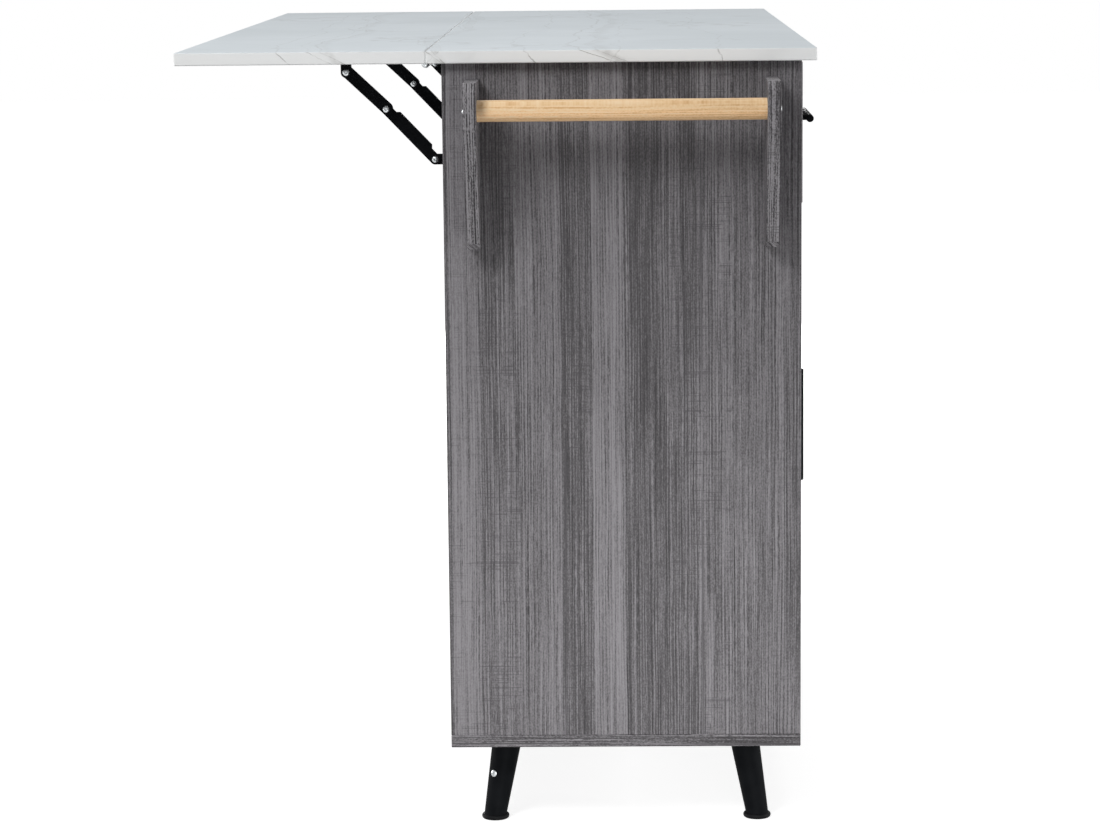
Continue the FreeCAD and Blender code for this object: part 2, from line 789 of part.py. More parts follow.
def folding_brackets():
    """Three brackets that hold the leaf up and fold with it: mounts, two arms each and rivets."""
    link = bracket_linkage()
    print_turns(link)
    # Layers along x, from the towel rail's end: leaf mount, upper arm, lower arm, cabinet mount
    upper_layer = -s.arm_gap / 2 - s.arm_thick
    leaf_layer = upper_layer - s.arm_gap - s.mount_thick
    lower_layer = s.arm_gap / 2
    cabinet_layer = lower_layer + s.arm_thick + s.arm_gap
    places = (-s.bracket_spacing, ZERO, s.bracket_spacing)
    keep("bracket_upper_arms", [upper_arm(x + upper_layer, link) for x in places])
    keep("bracket_lower_arms", [lower_arm(x + lower_layer, link) for x in places])
    keep("bracket_leaf_mounts",
         [mount((x + leaf_layer, *link.upper), s.leaf_pivot_drop, -1, ZERO) for x in places])
    quarter = Size(90, "90")
    keep("bracket_cabinet_mounts",
         [mount((x + cabinet_layer, *link.lower), s.cabinet_pivot_out, 1, quarter) for x in places])
    arm_back = upper_layer + s.arm_thick
    keep("bracket_leaf_rivets",
         [rivet(x + leaf_layer, x + arm_back, link.upper) for x in places])
    keep("bracket_knee_rivets",
         [rivet(x + upper_layer, x + arm_back, link.knee) for x in places])
    head = lower_layer - s.rivet_clearance
    tail = cabinet_layer + s.mount_thick
    keep("bracket_cabinet_rivets",
         [rivet(x + head, x + tail, link.lower) for x in places])


def check():
    """Stop if a feature failed or a node has no sound solid."""
    for thing in doc.Objects:
        if "Invalid" in thing.State or "Error" in thing.State:
            raise RuntimeError(f"{thing.Label} failed: {thing.State}")
    for name, node in NODES.items():
        shape = node.Shape
        if shape.isNull() or not shape.isValid() or not shape.Solids:
            raise RuntimeError(f"{name} has no valid solid")


worktop_and_leaf()
carcass()
rails()
shelves()
towel_rack()
legs()
drawers()
doors()
seam_hinges()
folding_brackets()
doc.recompute()
check()
os.makedirs("parts", exist_ok=True)
for node_name, node in NODES.items():
    node.Shape.exportStep(f"parts/{node_name}.step")
print(len(NODES), "nodes,", sum(len(node.Shape.Solids) for node in NODES.values()), "solids")
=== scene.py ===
import logging
import math
from collections.abc import Mapping, Sequence
from dataclasses import dataclass, field, replace
from enum import Enum
from typing import Any, NamedTuple

import bmesh
import bpy
from mathutils import Matrix, Vector


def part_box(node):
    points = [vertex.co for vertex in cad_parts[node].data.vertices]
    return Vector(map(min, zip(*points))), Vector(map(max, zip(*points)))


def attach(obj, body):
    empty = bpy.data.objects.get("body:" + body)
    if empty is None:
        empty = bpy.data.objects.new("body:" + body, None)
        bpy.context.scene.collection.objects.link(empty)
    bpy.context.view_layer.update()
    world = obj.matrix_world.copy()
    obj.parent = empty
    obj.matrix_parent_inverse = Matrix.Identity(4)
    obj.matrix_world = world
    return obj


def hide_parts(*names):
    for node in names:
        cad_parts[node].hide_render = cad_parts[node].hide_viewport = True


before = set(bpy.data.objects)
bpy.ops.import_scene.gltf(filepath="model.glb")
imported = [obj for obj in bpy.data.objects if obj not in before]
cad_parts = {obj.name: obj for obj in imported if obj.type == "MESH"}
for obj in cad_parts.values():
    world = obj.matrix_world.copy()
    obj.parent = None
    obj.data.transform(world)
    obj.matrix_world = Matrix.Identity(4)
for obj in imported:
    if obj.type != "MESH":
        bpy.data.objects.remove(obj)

MM = 0.001
PHOTO_WIDTH = 1100
SLAB_TOP = 0.942
TO_NEAR_END = Vector((-1.0, 0.0, 0.0))
TO_FAR_END = Vector((1.0, 0.0, 0.0))
TO_FRONT = Vector((0.0, -1.0, 0.0))
TO_BACK = Vector((0.0, 1.0, 0.0))
DOWN = Vector((0.0, 0.0, -1.0))
UP = Vector((0.0, 0.0, 1.0))

log = logging.getLogger("kitchen_island")

Colour = tuple[float, float, float]
Point = tuple[float, float, float]
Pair = tuple[float, float]
Socket = bpy.types.NodeSocket
Node = bpy.types.Node
Tree = bpy.types.NodeTree
Material = bpy.types.Material
Piece = bpy.types.Object


class Grain(Enum):
    """The way that the grain of a board or a rail runs, as the turn that brings it upright."""

    UPRIGHT = (0.0, 0.0, 0.0)
    ALONG = (0.0, math.pi / 2, 0.0)
    ACROSS = (math.pi / 2, 0.0, 0.0)


class Drive(Enum):
    """What the head of a fastener shows in its middle."""

    DIMPLE = "dimple"
    CROSS = "cross"


def spaced(inputs: Mapping[str, Any]) -> dict[str, Any]:
    """Turn each _ in the names of inputs into a space, and return them."""
    return {name.replace("_", " "): source for name, source in inputs.items()}


class Sketch:
    """Adds and joins nodes in one tree of shader or geometry nodes."""

    def __init__(self, tree: Tree) -> None:
        """Work in a tree."""
        self.tree = tree

    def feed(self, socket: Socket, source: Any) -> None:
        """Join an output to an input, or write a plain value into it.

        Args:
            socket: the input.
            source: an output socket, a value, or the three numbers of a colour.
        """
        if isinstance(source, Socket):
            self.tree.links.new(source, socket)
        elif socket.type == "RGBA":
            socket.default_value = (*source, 1.0)
        else:
            socket.default_value = source

    def wire(self, node: Node, inputs: Mapping[Any, Any]) -> None:
        """Feed several inputs of a node, given by name or by index."""
        for name, source in inputs.items():
            self.feed(node.inputs[name], source)

    def add(self, kind: str, inputs: Mapping[Any, Any] | None = None, **settings: Any) -> Node:
        """Add a node.

        Args:
            kind: the node's type name.
            inputs: what feeds its inputs, by name or by index.
            settings: properties of the node, which are set first.

        Returns:
            The new node.
        """
        node = self.tree.nodes.new(kind)
        for name, value in settings.items():
            setattr(node, name, value)
        self.wire(node, inputs or {})
        return node

    def use(self, group: Tree, **inputs: Any) -> Any:
        """Place a node group, feed its inputs, named with _ for a space, and return its outputs."""
        return self.add("ShaderNodeGroup", spaced(inputs), node_tree=group).outputs

    def math(self, operation: str, first: Any, second: Any = 0.0, clamp: bool = False) -> Socket:
        """Work out one number from two, kept between 0 and 1 if clamp is set, and return it."""
        node = self.add("ShaderNodeMath", {0: first, 1: second}, operation=operation, use_clamp=clamp)
        return node.outputs[0]

    def times(self, first: Any, second: Any) -> Socket:
        """Multiply two numbers, and return the product."""
        return self.math("MULTIPLY", first, second)

    def plus(self, first: Any, second: Any) -> Socket:
        """Add two numbers, and return the sum."""
        return self.math("ADD", first, second)

    def minus(self, first: Any, second: Any) -> Socket:
        """Take the second number from the first, and return what is left."""
        return self.math("SUBTRACT", first, second)

    def apart(self, first: Any, second: Any) -> Socket:
        """Find how far apart two numbers are, and return it."""
        return self.math("ABSOLUTE", self.minus(first, second))

    def combine(self, x: Any, y: Any, z: Any) -> Socket:
        """Put three numbers into one vector, and return it."""
        return self.add("ShaderNodeCombineXYZ", {0: x, 1: y, 2: z}).outputs[0]

    def split(self, vector: Any) -> list[Socket]:
        """Take a vector apart, and return its three numbers."""
        return list(self.add("ShaderNodeSeparateXYZ", {0: vector}).outputs)

    def length(self, vector: Any) -> Socket:
        """Measure how long a vector is, and return it."""
        return self.add("ShaderNodeVectorMath", {0: vector}, operation="LENGTH").outputs["Value"]

    def scaled(self, vector: Any, density: Any) -> Socket:
        """Multiply a place by a density, and return the result."""
        values = {0: vector, 1: self.combine(density, density, density)}
        return self.add("ShaderNodeVectorMath", values, operation="MULTIPLY").outputs["Vector"]

    def noise(self, vector: Any, scale: float = 1.0, detail: float = 2.0, rough: float = 0.5) -> Socket:
        """Read a cloudy value at a place, about 0.5 on average, and return it."""
        values = {"Vector": vector, "Scale": scale, "Detail": detail, "Roughness": rough}
        return self.add("ShaderNodeTexNoise", values).outputs["Fac"]

    def between(self, value: Any, low: Any, high: Any, start: Any = 0.0, end: Any = 1.0,
                smooth: bool = True) -> Socket:
        """Map a value from one range to another and hold it there.

        Args:
            value: the value to map.
            low: where the first range starts.
            high: where the first range ends.
            start: what low becomes.
            end: what high becomes.
            smooth: ease in and out.

        Returns:
            The mapped value.
        """
        values = {"Value": value, "From Min": low, "From Max": high, "To Min": start, "To Max": end}
        curve = "SMOOTHSTEP" if smooth else "LINEAR"
        return self.add("ShaderNodeMapRange", values, interpolation_type=curve).outputs["Result"]

    def swing(self, parts: Sequence[tuple[Any, Any]], base: Any = 0.5) -> Any:
        """Add up how far several values stand from 0.5, each by its own weight.

        Args:
            parts: pairs of a value and its weight.
            base: what the sum starts from.

        Returns:
            The sum.
        """
        for value, weight in parts:
            base = self.plus(base, self.times(self.minus(value, 0.5), weight))
        return base

    def mix(self, share: Any, first: Any, second: Any) -> Socket:
        """Blend two colours, by the share of the second that shows, and return the blend."""
        return self.add("ShaderNodeMix", {0: share, 6: first, 7: second}, data_type="RGBA").outputs[2]

    def ramp(self, value: Any, stops: Sequence[tuple[float, Colour]]) -> Socket:
        """Turn a value into a colour.

        Args:
            value: the value to read.
            stops: pairs of a place on the ramp and its colour.

        Returns:
            The colour.
        """
        node = self.add("ShaderNodeValToRGB", {0: value})
        elements = node.color_ramp.elements
        while len(elements) < len(stops):
            elements.new(0.5)
        for element, (place, colour) in zip(elements, stops):
            element.position = place
            element.color = (*colour, 1.0)
        return node.outputs["Color"]


def new_group(name: str, numbers: Mapping[str, float], outputs: Sequence[str]) -> tuple[Sketch, Any, Node]:
    """Start a shader node group that is read at a place.

    Args:
        name: the group's name.
        numbers: the numbers that it takes beside its Vector, and their defaults.
        outputs: the names of the values that it gives.

    Returns:
        A sketch of the group, what its inputs give, and its output node.
    """
    tree = bpy.data.node_groups.new(name, "ShaderNodeTree")
    tree.interface.new_socket(name="Vector", in_out="INPUT", socket_type="NodeSocketVector")
    for label, default in numbers.items():
        socket = tree.interface.new_socket(name=label, in_out="INPUT", socket_type="NodeSocketFloat")
        socket.default_value = default
    for label in outputs:
        tree.interface.new_socket(name=label, in_out="OUTPUT", socket_type="NodeSocketFloat")
    sketch = Sketch(tree)
    return sketch, sketch.add("NodeGroupInput").outputs, sketch.add("NodeGroupOutput")


class Layer(NamedTuple):
    """A noise of the wood grain: its density across and along, its detail, its weight and where it shows."""

    across: float
    along: float
    detail: float
    offset: float
    weight: float = 1.0
    shows: Pair = (0.0, 1.0)


@dataclass(frozen=True)
class GrainRecipe:
    """The layers of the wood grain; fine to dash count in line densities, band and rings in strip densities."""

    slow_bend: Layer = Layer(5.0, 1.1, 1.0, 3.1, 0.012)
    quick_bend: Layer = Layer(24.0, 9.0, 1.0, 8.4, 0.0022)
    fine: Layer = Layer(1.0, 5.0, 0.0, 0.3, 1.2)
    coarse: Layer = Layer(0.5, 9.0, 0.0, 5.7, 0.35)
    speckle: Layer = Layer(0.9, 420.0, 0.0, 2.7, 0.6)
    dash: Layer = Layer(0.6, 90.0, 0.0, 1.9)
    band: Layer = Layer(1.1, 1.4, 1.0, 7.2, 0.24)
    rings: Layer = Layer(0.35, 1.1, 0.0, 9.9, 0.4)
    hatch: Layer = Layer(1.0, 600.0, 1.0, 2.2, shows=(0.52, 0.6))
    reach: Layer = Layer(45.0, 150.0, 0.0, 4.6, shows=(0.5, 0.58))
    patch: Layer = Layer(30.0, 10.0, 2.0, 6.3, shows=(0.38, 0.54))
    crack: Layer = Layer(9.0, 3.0, 0.0, 1.3, shows=(0.44, 0.56))
    dash_to_line: tuple[float, ...] = (0.3, 0.7, 0.2, 1.8)
    strip_to_line: tuple[float, ...] = (0.0, 1.0, 0.3, 1.4)
    torn_strips: Pair = (0.15, 0.5)
    strip_weight: float = 0.30
    strip_blur: float = 0.05
    comb_density: float = 1.9
    comb_bend: float = 7.0
    comb_weight: float = 0.15
    cracks_per_metre: float = 6.1
    crack_offset: float = 0.13
    crack_width: float = 0.010


class Effects:
    """The effects that several finishes share, each built once as a shader node group."""

    def __init__(self) -> None:
        """Build every group."""
        self.grain = self.grain_group(GrainRecipe())
        self.clouds = self.cloud_group()
        self.vein = self.vein_group()
        self.marks = self.mark_group()

    def grain_group(self, recipe: GrainRecipe) -> Tree:
        """Build the wood grain, which runs along its own z and follows x plus y across the board.

        Args:
            recipe: the layers and weights of the grain.

        Returns:
            A group with the grain's tone, its cross scratches, its dark splits and its height.
        """
        sketch, given, out = new_group("wood_grain", {
            "Line Density": 900.0, "Strip Density": 24.0, "Line Weight": 1.0, "Strip Weight": 1.0,
            "Figure Weight": 0.3, "Ring Count": 60.0, "Scratch Weight": 1.0,
        }, ("Tone", "Scratch", "Split", "Height"))
        x, y, along = sketch.split(given["Vector"])
        lines, strips = given["Line Density"], given["Strip Density"]
        times, plus, between, swing = sketch.times, sketch.plus, sketch.between, sketch.swing

        def read(layer: Layer, place: Any, unit: Any = 1.0) -> Socket:
            """Read a layer at a place across the board, in units of a density, and return it."""
            at = sketch.combine(times(place, times(unit, layer.across)), times(along, layer.along), layer.offset)
            return sketch.noise(at, detail=layer.detail)

        def mask(layer: Layer, place: Any) -> Socket:
            """Read a layer, and return where it shows."""
            return between(read(layer, place), *layer.shows)

        across = plus(x, y)
        bend = swing([(read(layer, across), layer.weight) for layer in (recipe.slow_bend, recipe.quick_bend)], 0.0)
        place = plus(across, bend)
        fine, coarse, speckle, dash = (
            read(layer, place, lines) for layer in (recipe.fine, recipe.coarse, recipe.speckle, recipe.dash))
        band, rings = (read(layer, place, strips) for layer in (recipe.band, recipe.rings))
        cells = sketch.add("ShaderNodeTexVoronoi", {"W": place, "Scale": strips, "Smoothness": recipe.strip_blur},
                           voronoi_dimensions="1D", feature="SMOOTH_F1")
        strip, lined, torn = sketch.split(cells.outputs["Color"])
        phase = plus(times(place, times(lines, recipe.comb_density)), times(coarse, recipe.comb_bend))
        comb = times(sketch.math("SINE", phase), recipe.comb_weight)
        broken = times(between(dash, *recipe.dash_to_line, smooth=False), swing([(fine, recipe.fine.weight)], 0.0))
        drawn = times(between(lined, *recipe.strip_to_line, smooth=False),
                      swing([(coarse, recipe.coarse.weight)], comb))
        thread = swing([(speckle, recipe.speckle.weight)], plus(broken, drawn))
        wide = swing([(strip, recipe.strip_weight), (band, recipe.band.weight)], 0.0)
        ring = plus(times(sketch.math("SINE", times(rings, given["Ring Count"])), 0.5), 0.5)
        figure = swing([(ring, recipe.rings.weight)], 0.0)
        tone = sketch.math("ADD", plus(0.5, times(given["Line Weight"], thread)),
                           plus(times(given["Strip Weight"], wide), times(given["Figure Weight"], figure)), clamp=True)
        scratch = times(mask(recipe.hatch, 0.0), mask(recipe.reach, across))
        torn_patch = times(mask(recipe.patch, across), between(torn, *recipe.torn_strips))
        turn = sketch.math("FRACT", plus(times(place, recipe.cracks_per_metre), recipe.crack_offset))
        line = between(sketch.apart(turn, 0.5), 0.0, recipe.crack_width, 1.0, 0.0)
        sketch.wire(out, {"Tone": tone, "Scratch": times(times(scratch, torn_patch), given["Scratch Weight"]),
                          "Split": times(line, mask(recipe.crack, across)),
                          "Height": swing([(fine, 1.0), (coarse, 0.8)])})
        return sketch.tree

    def cloud_group(self) -> Tree:
        """Build a stone's soft clouds and the thin veins that wander between them.

        Returns:
            A group with the clouds' value and the veins' mask.
        """
        sketch, given, out = new_group("stone_clouds", {"Cloud Density": 3.0, "Vein Width": 0.02}, ("Cloud", "Vein"))
        place = sketch.scaled(given["Vector"], given["Cloud Density"])
        bend = sketch.noise(place, scale=0.7, detail=5.0, rough=0.6)
        line = sketch.between(sketch.apart(bend, 0.5), 0.0, given["Vein Width"], 1.0, 0.0)
        present = sketch.between(sketch.noise(place, scale=1.7, detail=1.0), 0.46, 0.62)
        sketch.wire(out, {"Cloud": sketch.noise(place, detail=4.0, rough=0.55), "Vein": sketch.times(line, present)})
        return sketch.tree

    def vein_group(self) -> Tree:
        """Build one vein that crosses the slab's edge aslant and wanders along x on its face.

        Returns:
            A group with the vein's mask.
        """
        sketch, given, out = new_group("stone_vein", {
            "Top Place": 0.0, "Slant": 0.0, "Slab Top": SLAB_TOP, "Width": 0.001, "Weight": 1.0}, ("Mask",))
        x, y, z = sketch.split(given["Vector"])
        centre = sketch.plus(given["Top Place"], sketch.times(sketch.minus(given["Slab Top"], z), given["Slant"]))
        slow = sketch.noise(sketch.combine(x, given["Top Place"], 0.0), scale=2.2, detail=3.0)
        quick = sketch.noise(given["Vector"], scale=160.0)
        wander = sketch.between(x, -0.67, -0.5, 0.0, 0.16)
        centre = sketch.swing([(slow, wander), (quick, 0.007)], centre)
        line = sketch.between(sketch.apart(y, centre), 0.0, given["Width"], 1.0, 0.0)
        broken = sketch.between(sketch.noise(given["Vector"], scale=70.0), 0.36, 0.56, 0.25, 1.0)
        sketch.wire(out, {"Mask": sketch.times(sketch.times(line, broken), given["Weight"])})
        return sketch.tree

    def mark_group(self) -> Tree:
        """Build the faint mottling that handling and a coating leave.

        Returns:
            A group with a slow mottling and a fine texture.
        """
        sketch, given, out = new_group(
            "handling_marks", {"Mottle Density": 30.0, "Texture Density": 1600.0}, ("Mottle", "Texture"))
        for name, detail in (("Mottle", 4.0), ("Texture", 1.0)):
            place = sketch.scaled(given["Vector"], given[f"{name} Density"])
            sketch.wire(out, {name: sketch.noise(place, detail=detail)})
        return sketch.tree


class Surface(Sketch):
    """A sketch of a new material, with its Principled shader and the object's own coordinates."""

    def __init__(self, name: str) -> None:
        """Start the material.

        Args:
            name: the material's name.
        """
        self.material = bpy.data.materials.new(name)
        self.material.use_nodes = True
        super().__init__(self.material.node_tree)
        self.shader = self.tree.nodes["Principled BSDF"]
        self.place = self.add("ShaderNodeTexCoord").outputs["Object"]

    def bump(self, height: Any, strength: float, distance: float) -> Socket:
        """Raise the surface by a height over a distance in metres, and return its normal."""
        values = {"Strength": strength, "Distance": distance, "Height": height}
        return self.add("ShaderNodeBump", values).outputs["Normal"]

    def shade(self, **inputs: Any) -> Material:
        """Feed the shader's inputs, named with _ for a space, and return the material."""
        self.wire(self.shader, spaced(inputs))
        return self.material


@dataclass(frozen=True)
class Finish:
    """What every finish shares: its name, the shared effects and how its surface takes the light."""

    name: str
    effects: Effects
    roughness: Pair = (0.64, 0.5)
    specular: float = 0.25
    bump: Pair = (0.2, 0.0002)


@dataclass(frozen=True)
class WoodFinish(Finish):
    """What the board and the pine share: how the grain is read."""

    grain: Grain = Grain.UPRIGHT
    shift: Point = (0.0, 0.0, 0.0)
    line_density: float = 900.0
    strip_density: float = 24.0
    line_weight: float = 0.8
    strip_weight: float = 1.45
    figure_weight: float = 0.16
    ring_count: float = 120.0
    scratch_weight: float = 1.0

    def mapped(self, surface: Surface, place: Any, grain: Grain) -> Any:
        """Turn a place so that the grain runs along z, and read the grain there.

        Args:
            surface: the material's sketch.
            place: the place on the board.
            grain: the way that the grain runs.

        Returns:
            The outputs of the grain's group.
        """
        values = {"Vector": place, "Location": self.shift, "Rotation": grain.value}
        return surface.use(
            self.effects.grain, Vector=surface.add("ShaderNodeMapping", values).outputs["Vector"],
            Line_Density=self.line_density, Strip_Density=self.strip_density, Line_Weight=self.line_weight,
            Strip_Weight=self.strip_weight, Figure_Weight=self.figure_weight, Ring_Count=self.ring_count,
            Scratch_Weight=self.scratch_weight)


@dataclass(frozen=True)
class BoardFinish(WoodFinish):
    """Grey printed wood grain on a laminated board, which runs across it past end_from."""

    end_from: float = 0.0
    deep: Colour = (0.040, 0.037, 0.040)
    dark: Colour = (0.078, 0.074, 0.078)
    middle: Colour = (0.138, 0.131, 0.139)
    light: Colour = (0.224, 0.215, 0.227)
    scratched: Colour = (0.064, 0.060, 0.065)
    scratch_share: float = 0.6
    split_share: float = 0.85

    def place_on(self, surface: Surface) -> Any:
        """Return the place that the grain is read at."""
        return surface.place

    def read(self, surface: Surface) -> list[Socket]:
        """Read the grain, which runs across the board's end strips.

        Args:
            surface: the material's sketch.

        Returns:
            The grain's tone, scratches, splits and height.
        """
        board = self.mapped(surface, self.place_on(surface), self.grain)
        if not self.end_from:
            return list(board)
        strip = self.mapped(surface, surface.place, Grain.ACROSS)
        from_middle = surface.math("ABSOLUTE", surface.split(surface.place)[0])
        far = surface.math("GREATER_THAN", from_middle, self.end_from)
        near = surface.minus(1.0, far)
        return [surface.plus(surface.times(one, near), surface.times(other, far))
                for one, other in zip(board, strip)]

    def build(self) -> Material:
        """Build the material.

        Returns:
            The material.
        """
        surface = Surface(self.name)
        tone, scratch, split, height = self.read(surface)
        colour = surface.ramp(tone, ((0.0, self.deep), (0.3, self.dark), (0.52, self.middle), (0.9, self.light)))
        worn = surface.math("MAXIMUM", surface.times(scratch, self.scratch_share),
                            surface.times(split, self.split_share))
        return surface.shade(
            Base_Color=surface.mix(worn, colour, self.scratched),
            Roughness=surface.between(tone, 0.2, 0.8, *self.roughness, smooth=False),
            Specular_IOR_Level=self.specular, Normal=surface.bump(height, *self.bump))


@dataclass(frozen=True)
class BracketFinish(BoardFinish):
    """The board finish for a towel bracket, whose edge strip keeps upright grain where it slopes."""

    tip: float = -0.755
    lower_bend: float = 0.856
    lower_slope: float = 60 / 137
    upper_bend: float = 0.898
    strip: float = 0.0007

    def place_on(self, surface: Surface) -> Any:
        """Flatten x on the edge strip, so that the grain doesn't run out of it.

        Args:
            surface: the material's sketch.

        Returns:
            The place that the grain is read at.
        """
        x, y, z = surface.split(surface.place)
        under = surface.math("MAXIMUM", surface.minus(self.lower_bend, z), 0.0)
        above = surface.math("MAXIMUM", surface.minus(z, self.upper_bend), 0.0)
        edge = surface.plus(surface.plus(surface.times(under, self.lower_slope), above), self.tip + self.strip)
        return surface.combine(surface.times(x, surface.math("GREATER_THAN", x, edge)), y, z)


class Vein(NamedTuple):
    """A vein: where it meets the top and the foot of the slab's edge, its width in millimetres, its weight."""

    top: float
    foot: float
    width: float
    weight: float


@dataclass(frozen=True)
class MarbleFinish(Finish):
    """A pale stone print with faint clouds and a few thin veins; its top is painted cooler and its edge whiter as
    painted light, and the walls of its seam glow faintly as painted light that lifts the shade in the gap.
    """

    roughness: Pair = (0.34, 0.46)
    specular: float = 0.0
    bump: Pair = (0.03, 0.0001)
    slab_thick: float = 0.015
    edge_ease: float = 0.0012
    # Painted light: the slabs' walls at the seam glow faintly, lifting the shade inside the gap.
    seam: Pair = (0.2285, 0.0008)
    seam_glow: float = 0.12
    cloud_density: float = 3.1
    cloud_vein_width: float = 0.012
    cloud_vein_weight: float = 0.22
    face_share: float = 0.3
    # Painted light: the top's colours are cool and the edge's colour is whiter and neutral, standing in for the
    # different light on the top and the edge; the edge colour also fills the seam's glow.
    pale: Colour = (0.800, 0.850, 0.885)
    cloudy: Colour = (0.755, 0.806, 0.838)
    edge_painted_light: Colour = (0.900, 0.910, 0.908)
    vein_grey: Colour = (0.420, 0.415, 0.400)
    veins: tuple[Vein, ...] = (
        Vein(404, 388, 1.5, 0.85), Vein(368, 338, 1.4, 0.6), Vein(352, 322, 2.4, 0.95), Vein(345, 330, 9.0, 0.35),
        Vein(229, 208, 1.6, 0.95), Vein(212, 229, 1.4, 0.6), Vein(222, 206, 1.8, 0.75), Vein(218, 212, 10.0, 0.35),
        Vein(114, 100, 1.6, 0.75), Vein(50, 6, 2.0, 1.0), Vein(30, -8, 1.6, 0.85), Vein(24, 0, 14.0, 0.42),
        Vein(2, 14, 1.4, 0.6), Vein(-111, -119, 1.3, 0.75),
    )

    def build(self) -> Material:
        """Build the material.

        Returns:
            The material.
        """
        surface = Surface(self.name)
        place = surface.place
        _, y, z = surface.split(place)
        side = surface.between(z, SLAB_TOP - self.edge_ease, SLAB_TOP, 1.0, 0.0)
        clouds = surface.use(self.effects.clouds, Vector=place, Cloud_Density=self.cloud_density,
                             Vein_Width=self.cloud_vein_width)
        colour = surface.mix(surface.between(clouds["Cloud"], 0.35, 0.65), self.pale, self.cloudy)
        # Painted light: the edge faces take the whiter edge colour, standing in for the light that falls on them.
        colour = surface.mix(side, colour, self.edge_painted_light)
        strokes: Any = 0.0
        for vein in self.veins:
            drawn = surface.use(
                self.effects.vein, Vector=place, Top_Place=vein.top * MM, Slab_Top=SLAB_TOP,
                Slant=(vein.foot - vein.top) * MM / self.slab_thick, Width=vein.width * MM, Weight=vein.weight)
            strokes = surface.math("MAXIMUM", strokes, drawn["Mask"])
        strokes = surface.times(strokes, surface.between(side, 0.0, 1.0, self.face_share, 1.0))
        veined = surface.math("ADD", surface.times(clouds["Vein"], self.cloud_vein_weight), strokes, clamp=True)
        marks = surface.use(self.effects.marks, Vector=place, Mottle_Density=9.0, Texture_Density=700.0)
        # Painted light: a faint glow on the edge walls at the seam lifts the shade inside the gap.
        at_seam = surface.math("LESS_THAN", surface.apart(y, self.seam[0]), self.seam[1])
        return surface.shade(
            Base_Color=surface.mix(veined, colour, self.vein_grey),
            Roughness=surface.between(marks["Mottle"], 0.3, 0.7, *self.roughness, smooth=False),
            Specular_IOR_Level=self.specular, Emission_Color=self.edge_painted_light,
            Emission_Strength=surface.times(surface.times(at_seam, side), self.seam_glow),
            Normal=surface.bump(marks["Texture"], *self.bump))


@dataclass(frozen=True)
class PineFinish(WoodFinish):
    """Clear-lacquered pine with fine lines and a flame figure along y, and painted bounce light that makes it brighter
    and warmer below the rail's axis.
    """

    roughness: Pair = (0.52, 0.40)
    specular: float = 0.2
    bump: Pair = (0.12, 0.0002)
    grain: Grain = Grain.ACROSS
    strip_density: float = 80.0
    line_weight: float = 0.6
    strip_weight: float = 0.6
    figure_weight: float = 0.45
    ring_count: float = 70.0
    scratch_weight: float = 0.0
    late: Colour = (0.720, 0.420, 0.190)
    honey: Colour = (0.890, 0.620, 0.350)
    early: Colour = (0.960, 0.740, 0.500)
    # Painted light: the underside colour is brighter and warmer, standing in for light bounced up onto the rail's
    # underside.
    underside_bounce_light: Colour = (1.000, 0.650, 0.350)
    rail_z: float = 0.875
    turn_height: float = 0.004

    def build(self) -> Material:
        """Build the material.

        Returns:
            The material.
        """
        surface = Surface(self.name)
        wood = self.mapped(surface, surface.place, self.grain)
        tone, height = wood["Tone"], surface.split(surface.place)[2]
        colour = surface.ramp(tone, ((0.1, self.late), (0.45, self.honey), (0.8, self.early)))
        # Painted light: below the rail's axis the colour blends into a brighter, warmer ramp, standing in for light
        # bounced from below.
        bounce_lit_colour = surface.ramp(tone, ((0.2, self.late), (0.5, self.underside_bounce_light), (0.8, self.early)))
        bounce_light_share = surface.between(height, self.rail_z - self.turn_height, self.rail_z + self.turn_height, 1.0, 0.0)
        return surface.shade(
            Base_Color=surface.mix(bounce_light_share, colour, bounce_lit_colour),
            Roughness=surface.between(tone, 0.2, 0.8, *self.roughness, smooth=False),
            Specular_IOR_Level=self.specular, Normal=surface.bump(wood["Height"], *self.bump))


@dataclass(frozen=True)
class CoatedFinish(Finish):
    """A coated or moulded surface with faint mottling and a fine texture, and perhaps painted shade: a darker colour
    where the surface turns away from the view.
    """

    roughness: Pair = (0.42, 0.55)
    specular: float = 0.015
    bump: Pair = (0.2, 0.00008)
    low: Colour = (0.0050, 0.0055, 0.0064)
    high: Colour = (0.0085, 0.0092, 0.0105)
    texture: float = 1500.0
    metallic: float = 0.0
    painted_rim_shade: Colour | None = None

    def build(self) -> Material:
        """Build the material.

        Returns:
            The material.
        """
        surface = Surface(self.name)
        marks = surface.use(self.effects.marks, Vector=surface.place, Mottle_Density=42.0,
                            Texture_Density=self.texture)
        colour = surface.ramp(marks["Mottle"], ((0.32, self.low), (0.68, self.high)))
        if self.painted_rim_shade:
            # Painted shade: where the surface turns away from the camera, the colour darkens towards the shade colour.
            turned_away = surface.add("ShaderNodeLayerWeight").outputs["Facing"]
            colour = surface.mix(surface.between(turned_away, 0.35, 0.9), colour, self.painted_rim_shade)
        return surface.shade(
            Base_Color=colour, Metallic=self.metallic, Specular_IOR_Level=self.specular,
            Roughness=surface.between(marks["Mottle"], 0.3, 0.7, *self.roughness, smooth=False),
            Normal=surface.bump(marks["Texture"], *self.bump))


